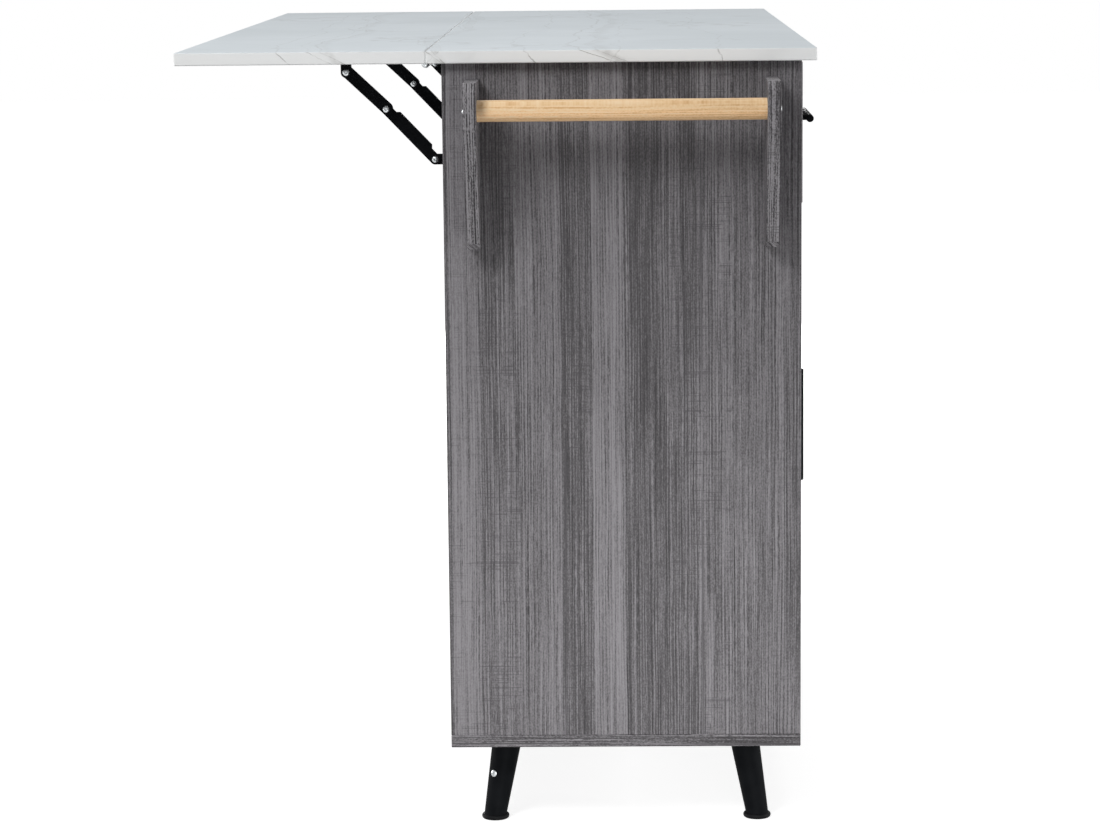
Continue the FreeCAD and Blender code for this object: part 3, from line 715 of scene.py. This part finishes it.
class Finishes:
    """Every finish of the island, built once and handed out by name."""

    def __init__(self) -> None:
        """Build the shared effects and every material."""
        effects = Effects()
        self.marble = MarbleFinish("marble_print", effects).build()
        self.board = BoardFinish("grey_board_upright", effects, shift=(0.0, -2.634, 0.0)).build()
        self.board_other = BoardFinish("grey_board_upright_b", effects, shift=(0.37, 0.61, 0.22)).build()
        self.board_bracket = BracketFinish(
            "grey_board_bracket", effects, shift=(0.12, 0.27, 0.55), line_weight=2.2, strip_weight=0.5,
            middle=(0.164, 0.156, 0.165), light=(0.270, 0.259, 0.273)).build()
        self.board_along = BoardFinish(
            "grey_board_along", effects, grain=Grain.ALONG, end_from=0.6544, line_weight=1.6).build()
        self.board_inside = BoardFinish(
            "grey_board_inside", effects, grain=Grain.ALONG, shift=(0.2, 0.4, 0.1)).build()
        self.board_deep = BoardFinish("grey_board_deep", effects, grain=Grain.ACROSS, shift=(0.3, 0.1, 0.5)).build()
        self.pine = PineFinish("pale_wood", effects).build()
        self.black_metal = CoatedFinish("black_metal", effects).build()
        # The zinc's darker colour at its turned-away edges is painted shade.
        self.zinc = CoatedFinish(
            "zinc", effects, (0.20, 0.34), specular=0.5, bump=(0.2, 0.00002), low=(0.40, 0.42, 0.43),
            high=(0.58, 0.60, 0.61), texture=900.0, metallic=1.0, painted_rim_shade=(0.10, 0.105, 0.11)).build()
        self.plastic = CoatedFinish(
            "black_plastic", effects, (0.45, 0.58), specular=0.06, bump=(0.2, 0.00010),
            low=(0.0050, 0.0052, 0.0058), high=(0.0090, 0.0094, 0.0102), texture=2200.0).build()


def dress(material: Material, *nodes: str) -> None:
    """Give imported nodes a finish.

    Args:
        material: the finish.
        nodes: the names of the nodes.
    """
    for node in nodes:
        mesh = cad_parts[node].data
        if not mesh.materials:
            mesh.materials.append(material)
        for index in range(len(mesh.materials)):
            mesh.materials[index] = material


def settle(piece: Piece, body: str, slot: str, replaced: Sequence[str] = ()) -> None:
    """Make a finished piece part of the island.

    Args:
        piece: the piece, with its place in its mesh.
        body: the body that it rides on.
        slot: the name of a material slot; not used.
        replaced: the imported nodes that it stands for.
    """
    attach(piece, body)
    if replaced:
        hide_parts(*replaced)
    log.info("%s rides on %s with %d faces", piece.name, body, len(piece.data.polygons))


def linked(name: str, data: Any) -> Piece:
    """Put an object with its data into the scene at the origin, and return it.

    Args:
        name: the object's name.
        data: its mesh, camera or light.

    Returns:
        The object.
    """
    piece = bpy.data.objects.new(name, data)
    bpy.context.scene.collection.objects.link(piece)
    return piece


def turned(shape: bmesh.types.BMesh, outline: Sequence[Pair], at: Matrix, sides: int) -> None:
    """Turn an outline round the z axis of a frame, and add the closed form to a mesh.

    Args:
        shape: the mesh that the form is added to.
        outline: pairs of a radius and a height in millimetres; the first and last radius are 0.
        at: the frame, in metres.
        sides: how many sides the form has.
    """
    rings = []
    for radius, height in outline:
        count = sides if radius else 1
        turns = [2 * math.pi * step / count for step in range(count)]
        rings.append([shape.verts.new(at @ Vector((radius * MM * math.cos(turn), radius * MM * math.sin(turn),
                                                   height * MM))) for turn in turns])
    faces = []
    for lower, upper in zip(rings, rings[1:]):
        for step in range(sides):
            following = (step + 1) % sides
            corners = [lower[step % len(lower)], lower[following % len(lower)],
                       upper[following % len(upper)], upper[step % len(upper)]]
            faces.append(shape.faces.new(list(dict.fromkeys(corners))))
    bmesh.ops.recalc_face_normals(shape, faces=faces)


def finished(name: str, shape: bmesh.types.BMesh, material: Material, angle: float = 32.0) -> Piece:
    """Close a mesh and turn it into a smooth-shaded piece.

    Args:
        name: the piece's name.
        shape: the mesh, which is used up.
        material: the piece's finish.
        angle: edges sharper than this many degrees stay crisp.

    Returns:
        The piece.
    """
    mesh = bpy.data.meshes.new(name)
    shape.to_mesh(mesh)
    shape.free()
    mesh.materials.append(material)
    mesh.shade_smooth()
    mesh.set_sharp_from_angle(angle=math.radians(angle))
    return linked(name, mesh)


def facing(direction: Vector, at: Vector) -> Matrix:
    """Make a frame at a point whose z axis looks along a direction, and return it."""
    return Matrix.Translation(at) @ direction.to_track_quat("Z", "Y").to_matrix().to_4x4()


@dataclass(frozen=True)
class Fastener:
    """A kind of rivet or screw: its drive, and its sizes in millimetres; mark_share is of the head's radius."""

    drive: Drive
    head_radius: float
    head_rise: float
    mark_share: float
    mark_depth: float
    shank_radius: float
    shank_length: float


@dataclass
class FastenerTree:
    """A tree of geometry nodes that puts a domed fastener at every point of a mesh."""

    drive: Drive
    sides: int = 32
    rings: int = 20
    shank_sides: int = 20
    seed: int = 7
    sharp_angle: float = 38.0
    dimple_floor: float = 0.55
    cross_width: float = 0.24
    shank_overlap: float = 0.2
    sockets: dict[str, str] = field(default_factory=dict)
    sketch: Sketch = field(init=False)
    given: Any = field(init=False)

    def build(self) -> Tree:
        """Build the tree and keep the identifier of each input.

        Returns:
            The tree.
        """
        tree = bpy.data.node_groups.new(f"fastener_{self.drive.value}", "GeometryNodeTree")
        tree.interface.new_socket(name="Places", in_out="INPUT", socket_type="NodeSocketGeometry")
        sizes = ("Head Radius", "Head Rise", "Mark Share", "Mark Depth", "Shank Radius", "Shank Length")
        kinds = dict.fromkeys(sizes, "Float") | {"Facing": "Vector", "Finish": "Material"}
        for name, kind in kinds.items():
            socket = tree.interface.new_socket(name=name, in_out="INPUT", socket_type=f"NodeSocket{kind}")
            self.sockets[name] = socket.identifier
        tree.interface.new_socket(name="Fasteners", in_out="OUTPUT", socket_type="NodeSocketGeometry")
        self.sketch = Sketch(tree)
        self.given = self.sketch.add("NodeGroupInput").outputs
        join = self.sketch.add("GeometryNodeJoinGeometry")
        for form in (self.shank(), self.head()):
            self.sketch.feed(join.inputs[0], form)
        self.sketch.add("NodeGroupOutput", {0: self.placed(join.outputs[0])})
        return tree

    def head(self) -> Socket:
        """Shape a ball into a low dome with a flat underside and its mark.

        Returns:
            The head's geometry.
        """
        sketch, given = self.sketch, self.given
        ball = sketch.add("GeometryNodeMeshUVSphere", {"Segments": self.sides, "Rings": self.rings})
        x, y, z = sketch.split(sketch.add("GeometryNodeInputPosition").outputs[0])
        height = sketch.times(sketch.math("MAXIMUM", z, 0.0), given["Head Rise"])
        if self.drive is Drive.DIMPLE:
            share = given["Mark Share"]
            mark = sketch.between(sketch.length(sketch.combine(x, y, 0.0)), sketch.times(share, self.dimple_floor),
                                  share, 1.0, 0.0)
            sunk = sketch.times(sketch.times(mark, sketch.math("GREATER_THAN", z, 0.0)), given["Mark Depth"])
            height = sketch.minus(height, sunk)
        radius = given["Head Radius"]
        place = sketch.combine(sketch.times(x, radius), sketch.times(y, radius), height)
        shaped = sketch.add("GeometryNodeSetPosition", {"Geometry": ball.outputs["Mesh"], "Position": place})
        head = shaped.outputs["Geometry"]
        return head if self.drive is Drive.DIMPLE else self.crossed(head)

    def moved(self, form: Socket, z: Any) -> Socket:
        """Move a form along z, and return it."""
        values = {"Geometry": form, "Translation": self.sketch.combine(0.0, 0.0, z)}
        return self.sketch.add("GeometryNodeTransform", values).outputs["Geometry"]

    def crossed(self, head: Socket) -> Socket:
        """Cut a cross for a driver into a head.

        Args:
            head: the head's geometry.

        Returns:
            The head with its cross.
        """
        sketch, given = self.sketch, self.given
        long = sketch.times(given["Head Radius"], sketch.times(given["Mark Share"], 2.0))
        narrow = sketch.times(long, self.cross_width)
        deep = sketch.times(given["Mark Depth"], 2.0)
        cut = sketch.add("GeometryNodeMeshBoolean", {"Mesh 1": head}, operation="DIFFERENCE")
        for size in (sketch.combine(long, narrow, deep), sketch.combine(narrow, long, deep)):
            bar = sketch.add("GeometryNodeMeshCube", {"Size": size}).outputs["Mesh"]
            sketch.feed(cut.inputs["Mesh 2"], self.moved(bar, given["Head Rise"]))
        return cut.outputs["Mesh"]

    def shank(self) -> Socket:
        """Make the round shank, which starts a little inside the head.

        Returns:
            The shank's geometry.
        """
        sketch, long = self.sketch, self.given["Shank Length"]
        inside = sketch.times(self.given["Head Rise"], self.shank_overlap)
        bar = sketch.add("GeometryNodeMeshCylinder", {
            "Vertices": self.shank_sides, "Radius": self.given["Shank Radius"], "Depth": sketch.plus(long, inside)})
        return self.moved(bar.outputs["Mesh"], sketch.times(sketch.minus(inside, long), 0.5))

    def placed(self, fastener: Socket) -> Socket:
        """Put the fastener at every place, each turned about its own axis, as plain smooth geometry.

        Args:
            fastener: one fastener's geometry.

        Returns:
            The finished geometry.
        """
        sketch, given = self.sketch, self.given
        points = sketch.add("GeometryNodeMeshToPoints", {"Mesh": given["Places"]})
        aim = sketch.add("FunctionNodeAlignRotationToVector", {"Vector": given["Facing"]}, axis="Z")
        instances = sketch.add("GeometryNodeInstanceOnPoints", {
            "Points": points.outputs["Points"], "Instance": fastener, "Rotation": aim.outputs["Rotation"]})
        chance = sketch.add("FunctionNodeRandomValue", {"Seed": self.seed}, data_type="FLOAT")
        angle = sketch.times(chance.outputs[1], math.pi / 2)
        turn = sketch.add("GeometryNodeRotateInstances", {
            "Instances": instances.outputs["Instances"], "Rotation": sketch.combine(0.0, 0.0, angle)})
        plain = sketch.add("GeometryNodeRealizeInstances", {0: turn.outputs["Instances"]})
        corner = sketch.add("GeometryNodeInputMeshEdgeAngle").outputs["Unsigned Angle"]
        crisp = sketch.math("GREATER_THAN", corner, math.radians(self.sharp_angle))
        edges = sketch.add("GeometryNodeSetShadeSmooth", {
            "Geometry": plain.outputs[0], "Selection": crisp, "Shade Smooth": False}, domain="EDGE")
        dressed = sketch.add("GeometryNodeSetMaterial", {
            "Geometry": edges.outputs["Geometry"], "Material": given["Finish"]})
        return dressed.outputs["Geometry"]


@dataclass
class FastenerKit:
    """Makes rows of rivets and screws with the two fastener trees."""

    finish: Material
    slot: str = "zinc"
    trees: dict[Drive, tuple[FastenerTree, Tree]] = field(default_factory=dict)

    def row(self, name: str, places: Sequence[Point], look: Vector, kind: Fastener, body: str,
            replaced: Sequence[str] = ()) -> None:
        """Make one piece of fasteners that all look the same way, as a plain mesh at the origin.

        Args:
            name: the piece's name.
            places: where each head sits, in millimetres.
            look: the way that the heads look.
            kind: the kind of fastener.
            body: the body that they ride on.
            replaced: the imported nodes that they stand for.
        """
        if kind.drive not in self.trees:
            maker = FastenerTree(kind.drive)
            self.trees[kind.drive] = (maker, maker.build())
        maker, tree = self.trees[kind.drive]
        seeds = bpy.data.meshes.new(f"{name}_places")
        seeds.from_pydata([Vector(place) * MM for place in places], [], [])
        carrier = linked(f"{name}_places", seeds)
        modifier = carrier.modifiers.new("fasteners", "NODES")
        modifier.node_group = tree
        values = {"Head Radius": kind.head_radius * MM, "Head Rise": kind.head_rise * MM,
                  "Mark Share": kind.mark_share, "Mark Depth": kind.mark_depth * MM,
                  "Shank Radius": kind.shank_radius * MM, "Shank Length": kind.shank_length * MM,
                  "Facing": tuple(look), "Finish": self.finish}
        for label, value in values.items():
            modifier[maker.sockets[label]] = value
        evaluated = carrier.evaluated_get(bpy.context.evaluated_depsgraph_get())
        mesh = bpy.data.meshes.new_from_object(evaluated)
        carrier.modifiers.remove(modifier)
        bpy.data.objects.remove(carrier)
        mesh.name = name
        settle(linked(name, mesh), body, self.slot, replaced)


@dataclass
class Worktop:
    """The fixed worktop and the drop leaf."""

    finishes: Finishes

    def build(self) -> None:
        """Dress both slabs."""
        dress(self.finishes.marble, "worktop", "drop_leaf")


@dataclass
class Carcass:
    """The cabinet's boards, shelves and their supports."""

    finishes: Finishes

    def build(self) -> None:
        """Dress every board of the cabinet."""
        made = self.finishes
        dress(made.board, "end_panel_left", "end_panel_right", "back_panel")
        dress(made.board_other, "middle_partition")
        dress(made.board_along, "bottom_board")
        dress(made.board_inside, "top_rails", "middle_rails", "shelves")
        dress(made.zinc, "shelf_supports")


@dataclass
class TowelRack:
    """The towel rail, its brackets and its two screws."""

    finishes: Finishes
    kit: FastenerKit
    rail_x: float = -725.0
    rail_z: float = 875.0
    outer_y: float = 182.0
    screw: Fastener = Fastener(Drive.CROSS, 4.5, 2.5, 0.55, 1.1, 2.0, 42.0)

    def build(self) -> None:
        """Dress the boards and the rail, and make the screws."""
        dress(self.finishes.board_bracket, "towel_bracket_back", "towel_bracket_front")
        dress(self.finishes.pine, "towel_rail")
        for name, side in (("towel_screw_back", 1.0), ("towel_screw_front", -1.0)):
            place = (self.rail_x, self.outer_y * side, self.rail_z)
            self.kit.row(name, [place], Vector((0.0, side, 0.0)), self.screw, "cabinet", ["towel_rail_screws"])


@dataclass
class Legs:
    """The four splayed legs and the centre leg, their plates, pads and screws."""

    finishes: Finishes
    kit: FastenerKit
    end_face: float = 655.0
    side_face: float = 211.0
    top_inset: float = 66.0
    foot_inset: float = 50.5
    plate_foot: float = 99.0
    plate_screw: float = 21.5
    pad_radius: float = 16.8
    pad_height: float = 6.0
    pad_sides: int = 56
    pad_angle: float = 60.0
    screw_at: Point = (-608.9, 162.0, 57.0)
    screw_look: Point = (-0.776, 0.605, 0.182)
    leg_screw: Fastener = Fastener(Drive.CROSS, 4.4, 1.6, 0.6, 0.9, 1.9, 9.0)
    small_screw: Fastener = Fastener(Drive.CROSS, 3.4, 1.7, 0.55, 0.9, 1.9, 14.0)

    def stands(self, inset: float) -> list[Pair]:
        """Return x and y of the five legs where they stand this far inside the ends and sides."""
        out_x, out_y = self.end_face - inset, self.side_face - inset
        return [(0.0, 0.0)] + [(out_x * x, out_y * y) for x in (-1, 1) for y in (-1, 1)]

    def pads(self) -> Piece:
        """Turn the five pads with rounded rims and a foot.

        Returns:
            The pads, as one piece.
        """
        shape = bmesh.new()
        high, wide = self.pad_height, self.pad_radius
        outline = ((0.0, 0.0), (wide - 2.6, 0.0), (wide - 1.4, 0.3), (wide - 0.5, 1.1), (wide - 0.1, 2.2),
                   (wide, 3.2), (wide - 0.15, 4.2), (wide - 0.6, 5.1), (wide - 1.3, 5.7), (wide - 2.2, high),
                   (0.0, high))
        for x, y in self.stands(self.foot_inset):
            turned(shape, outline, Matrix.Translation((x * MM, y * MM, 0.0)), self.pad_sides)
        return finished("turned_foot_pads", shape, self.finishes.plastic, self.pad_angle)

    def build(self) -> None:
        """Dress the legs and plates, and make the pads and screws."""
        dress(self.finishes.black_metal, "centre_leg", "legs_front", "legs_back", "leg_plates")
        settle(self.pads(), "cabinet", "black_plastic", ["foot_pads"])
        places = [(x + self.plate_screw * side, y + self.plate_screw * across, self.plate_foot)
                  for x, y in self.stands(self.top_inset) for side in (-1, 1) for across in (-1, 1)]
        self.kit.row("leg_plate_screws", places, DOWN, self.small_screw, "cabinet")
        for name, sign in (("leg_screw_near", 1.0), ("leg_screw_far", -1.0)):
            (x, y, z), (look_x, look_y, look_z) = self.screw_at, self.screw_look
            self.kit.row(name, [(x * sign, y * sign, z)], Vector((look_x * sign, look_y * sign, look_z)),
                         self.leg_screw, "cabinet")


@dataclass
class BarPull:
    """A round bar with eased ends on two round posts."""

    finish: Material
    length: float = 144.0
    radius: float = 4.75
    reach: float = 28.0
    centres: float = 96.0
    post: float = 3.6
    ease: float = 0.7
    bar_sides: int = 40
    post_sides: int = 32
    sharp_angle: float = 40.0

    def build(self, part: str, face: Point, along: Vector) -> None:
        """Make the pull of a drawer or a door, which rides on the body of the same name.

        Args:
            part: the body's name.
            face: the middle of the pull on the face that it stands on, in millimetres.
            along: the way that its bar runs.
        """
        shape = bmesh.new()
        foot = Vector(face)
        half, ease, stand = self.length / 2, self.ease, self.reach - self.radius
        bar = ((0.0, -half), (self.radius - ease, -half), (self.radius - ease * 0.3, -half + ease * 0.3),
               (self.radius, -half + ease), (self.radius, half - ease), (self.radius - ease * 0.3, half - ease * 0.3),
               (self.radius - ease, half), (0.0, half))
        turned(shape, bar, facing(along, (foot + TO_FRONT * stand) * MM), self.bar_sides)
        post = ((0.0, 0.0), (self.post + 0.9, 0.0), (self.post + 0.9, 0.7), (self.post + 0.5, 1.2),
                (self.post, 1.5), (self.post, stand), (0.0, stand))
        for side in (-1, 1):
            at = (foot + along * (side * self.centres / 2)) * MM
            turned(shape, post, facing(TO_FRONT, at), self.post_sides)
        piece = finished(f"{part}_bar_pull", shape, self.finish, self.sharp_angle)
        settle(piece, part, "black_metal", [f"{part}_pull"])


@dataclass
class Drawers:
    """The two drawers: boards, runners and pulls."""

    finishes: Finishes
    pull: BarPull
    centre_x: float = 323.75
    front_y: float = -213.0
    pull_z: float = 841.0

    def build(self) -> None:
        """Dress the drawers and make their pulls."""
        made = self.finishes
        for name, side in (("drawer_left", -1.0), ("drawer_right", 1.0)):
            dress(made.board_other, f"{name}_front")
            dress(made.board_inside, f"{name}_base", f"{name}_rear")
            dress(made.board_deep, f"{name}_sides")
            dress(made.zinc, f"{name}_slides")
            self.pull.build(name, (self.centre_x * side, self.front_y, self.pull_z), TO_FAR_END)
        dress(made.zinc, "drawer_channels")


@dataclass
class Doors:
    """The four doors, their pulls, pivot plates and catches."""

    finishes: Finishes
    pull: BarPull
    face_y: float = -203.5

    def build(self) -> None:
        """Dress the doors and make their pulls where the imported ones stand."""
        for name in ("door_left_outer", "door_left_inner", "door_right_inner", "door_right_outer"):
            dress(self.finishes.board, f"{name}_panel")
            low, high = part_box(f"{name}_pull")
            middle = (low + high) / (2 * MM)
            self.pull.build(name, (middle.x, self.face_y, middle.z), UP)
        dress(self.finishes.zinc, "door_pivot_plates")
        dress(self.finishes.plastic, "door_catches")


@dataclass
class SeamHinges:
    """The three hinges under the seam, with their pin ends and screws."""

    finishes: Finishes
    kit: FastenerKit
    spacing: float = 522.0
    half_length: float = 30.0
    pin: Pair = (235.0, 921.4)
    face_z: float = 925.5
    screw_x: float = 20.0
    fixed_y: float = 221.3
    leaf_y: float = 249.7
    pin_end: Fastener = Fastener(Drive.DIMPLE, 4.7, 2.6, 0.3, 0.1, 2.0, 1.0)
    screw: Fastener = Fastener(Drive.CROSS, 3.2, 1.3, 0.6, 0.8, 1.6, 12.0)

    def build(self) -> None:
        """Dress the hinges and make their pin ends and screws."""
        dress(self.finishes.zinc, "seam_hinge_fixed_halves", "seam_hinge_leaf_halves")
        middles = (-self.spacing, 0.0, self.spacing)
        for name, side in (("hinge_pin_ends_near", -1.0), ("hinge_pin_ends_far", 1.0)):
            places = [(x + side * self.half_length, *self.pin) for x in middles]
            self.kit.row(name, places, Vector((side, 0.0, 0.0)), self.pin_end, "cabinet")
        for name, y, body in (("hinge_screws_fixed", self.fixed_y, "cabinet"),
                              ("hinge_screws_leaf", self.leaf_y, "leaf")):
            places = [(x + self.screw_x * side, y, self.face_z) for x in middles for side in (-1, 1)]
            self.kit.row(name, places, DOWN, self.screw, body)


@dataclass
class FoldingBrackets:
    """The three folding brackets: mounts, arms, rivets and screws."""

    finishes: Finishes
    kit: FastenerKit
    spacing: float = 545.0
    leaf_pivot: Pair = (331.3, 911.4)
    cabinet_pivot: Pair = (225.7, 805.7)
    knee: Pair = (283.945, 866.83)
    mount_reach: float = 13.95
    mount_step: float = 5.0
    leaf_face: float = 925.0
    cabinet_face: float = 213.0
    dimple: Pair = (238.7, 823.6)
    dimple_x: float = 0.15
    dimple_sides: int = 20
    dimple_outline: tuple[Pair, ...] = ((0.0, -0.4), (1.6, -0.4), (1.6, 0.0), (1.3, 0.11), (0.8, 0.17), (0.0, 0.19))
    rivet: Fastener = Fastener(Drive.DIMPLE, 4.25, 2.2, 0.46, 1.2, 2.5, 4.3)
    screw: Fastener = Fastener(Drive.CROSS, 3.2, 1.5, 0.6, 0.8, 1.7, 12.0)

    def across(self, offset: float, *places: Pair) -> list[Point]:
        """Repeat places, in y and z, at the three brackets, this far along x from each one's middle."""
        return [(x + offset, *place) for place in places for x in (-self.spacing, 0.0, self.spacing)]

    def build(self) -> None:
        """Dress the mounts and arms, and make the rivets, dimples and screws."""
        dress(self.finishes.black_metal, "bracket_upper_arms", "bracket_lower_arms", "bracket_leaf_mounts",
              "bracket_cabinet_mounts")
        for part, offset, place, length, body in (
                ("leaf", -4.45, self.leaf_pivot, 4.3, "leaf"),
                ("knee", -2.15, self.knee, 2.0, "upper_arms"),
                ("cabinet", 0.05, self.cabinet_pivot, 4.4, "cabinet")):
            self.kit.row(f"{part}_domed_rivets", self.across(offset, place), TO_NEAR_END,
                         replace(self.rivet, shank_length=length), body, [f"bracket_{part}_rivets"])
        steps = (-self.mount_step, self.mount_step)
        places = [(self.leaf_pivot[0] + step, self.leaf_face) for step in steps]
        self.kit.row("leaf_mount_screws", self.across(-self.mount_reach, *places), DOWN, self.screw, "leaf")
        places = [(self.cabinet_face, self.cabinet_pivot[1] + step) for step in steps]
        self.kit.row("cabinet_mount_screws", self.across(self.mount_reach, *places), TO_BACK, self.screw, "cabinet")
        self.dimples()

    def dimples(self) -> None:
        """Press a small round mark into each lower arm."""
        shape = bmesh.new()
        for place in self.across(self.dimple_x, self.dimple):
            turned(shape, self.dimple_outline, facing(TO_NEAR_END, Vector(place) * MM), self.dimple_sides)
        settle(finished("arm_pressed_marks", shape, self.finishes.black_metal), "lower_arms", "black_metal")


class Lamp(NamedTuple):
    """A soft lamp: its place, the point that it looks at, its size in metres, its watts and its spread."""

    name: str
    at: Point
    towards: Point
    size: Pair
    power: float
    spread: float = 180.0


@dataclass
class Studio:
    """The camera at the photograph's place, the soft lamps, the pale floor and the white background."""

    place: Point = (-4.45889, 0.00864, 1.11540)
    yaw: float = 0.02077
    pitch: float = 0.15716
    roll: float = -0.01027
    focal_pixels: float = 3236.74
    sensor: float = 36.0
    far_clip: float = 100.0
    ambient: float = 0.06
    ambient_tint: Colour = (0.96, 0.98, 1.0)
    floor_grey: Colour = (0.50, 0.50, 0.50)
    white: Colour = (1.0, 1.0, 1.0)
    floor_glow: Pair = (0.80, 1.0)
    glow_reach: Pair = (1.3, 2.8)
    floor_reach: float = 14.0
    lamps: tuple[Lamp, ...] = (
        Lamp("key", (-2.85, 1.45, 2.70), (-0.655, 0.0, 0.3), (1.2, 1.2), 68.0),
        Lamp("low", (-1.75, -0.1, 0.14), (-0.655, -0.05, 0.14), (0.7, 0.2), 2.0, 90.0),
        Lamp("top", (0.4, 0.0, 3.3), (0.3, 0.0, 0.0), (1.8, 1.8), 24.0),
        Lamp("front", (-0.9, -3.5, 0.95), (-0.2, 0.0, 0.6), (1.6, 1.6), 80.0),
        Lamp("back", (0.5, 3.8, 0.95), (0.0, 0.2, 0.6), (1.6, 1.6), 72.0),
        Lamp("far_end", (3.9, 0.3, 0.95), (0.6, 0.0, 0.6), (1.6, 1.6), 90.0),
    )

    def camera(self) -> None:
        """Set up the camera."""
        data = bpy.data.cameras.new("photo_camera")
        data.sensor_width = self.sensor
        data.lens = self.focal_pixels / PHOTO_WIDTH * self.sensor
        data.clip_end = self.far_clip
        camera = linked("photo_camera", data)
        ahead = Vector((math.cos(self.pitch) * math.cos(self.yaw), math.cos(self.pitch) * math.sin(self.yaw),
                        -math.sin(self.pitch)))
        right = ahead.cross(UP).normalized()
        up = right.cross(ahead)
        turned_right = math.cos(self.roll) * right + math.sin(self.roll) * up
        turned_up = -math.sin(self.roll) * right + math.cos(self.roll) * up
        axes = Matrix((turned_right, turned_up, -ahead)).transposed()
        camera.matrix_world = Matrix.Translation(self.place) @ axes.to_4x4()
        bpy.context.scene.camera = camera

    def background_share(self, sketch: Sketch) -> Socket:
        """Find the rays that should see the white background.

        Args:
            sketch: the sketch of the world or the floor.

        Returns:
            Their share.
        """
        path = sketch.add("ShaderNodeLightPath").outputs
        seen = sketch.math("MAXIMUM", path["Is Camera Ray"], path["Is Glossy Ray"])
        return sketch.math("MAXIMUM", seen, path["Is Transmission Ray"])

    def world(self) -> None:
        """Make the world: white where it is seen, a soft even light elsewhere."""
        world = bpy.data.worlds.new("studio_world")
        bpy.context.scene.world = world
        world.use_nodes = True
        sketch = Sketch(world.node_tree)
        soft = world.node_tree.nodes["Background"]
        sketch.wire(soft, {"Color": self.ambient_tint, "Strength": self.ambient})
        bright = sketch.add("ShaderNodeBackground", {"Color": self.white, "Strength": 1.0})
        mixed = sketch.add("ShaderNodeMixShader", {
            0: self.background_share(sketch), 1: soft.outputs[0], 2: bright.outputs[0]})
        sketch.wire(world.node_tree.nodes["World Output"], {"Surface": mixed.outputs[0]})

    def hang(self, lamp: Lamp) -> None:
        """Hang one soft lamp.

        Args:
            lamp: the lamp.
        """
        data = bpy.data.lights.new(lamp.name, "AREA")
        data.shape = "RECTANGLE"
        data.size, data.size_y = lamp.size
        data.energy = lamp.power
        data.spread = math.radians(lamp.spread)
        look = (Vector(lamp.towards) - Vector(lamp.at)).to_track_quat("-Z", "Y")
        linked(lamp.name, data).matrix_world = Matrix.Translation(lamp.at) @ look.to_matrix().to_4x4()

    def floor(self) -> None:
        """Lay the pale floor, which shows white and keeps the island's shadow."""
        mesh = bpy.data.meshes.new("pale_floor")
        far = self.floor_reach
        mesh.from_pydata([(-far, -far, 0.0), (far, -far, 0.0), (far, far, 0.0), (-far, far, 0.0)], [], [(0, 1, 2, 3)])
        floor = linked("pale_floor", mesh)
        surface = Surface("pale_floor")
        glow = surface.between(surface.length(surface.place), *self.glow_reach, *self.floor_glow)
        mesh.materials.append(surface.shade(
            Base_Color=self.floor_grey, Roughness=0.9, Specular_IOR_Level=0.0, Emission_Color=self.white,
            Emission_Strength=surface.times(self.background_share(surface), glow)))

    def build(self) -> None:
        """Set up the camera, the world, the lamps and the floor."""
        self.camera()
        self.world()
        for lamp in self.lamps:
            self.hang(lamp)
        self.floor()


def main() -> None:
    """Build the island's looks in order."""
    logging.basicConfig(level=logging.INFO, format="%(name)s: %(message)s")
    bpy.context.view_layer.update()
    bpy.context.scene.view_settings.view_transform = "Standard"
    finishes = Finishes()
    kit = FastenerKit(finishes.zinc)
    pull = BarPull(finishes.black_metal)
    for part in (Worktop(finishes), Carcass(finishes), TowelRack(finishes, kit), Legs(finishes, kit),
                 Drawers(finishes, pull), Doors(finishes, pull), SeamHinges(finishes, kit),
                 FoldingBrackets(finishes, kit), Studio()):
        part.build()
        log.info("%s done", type(part).__name__)


if __name__ == "__main__":
    main()
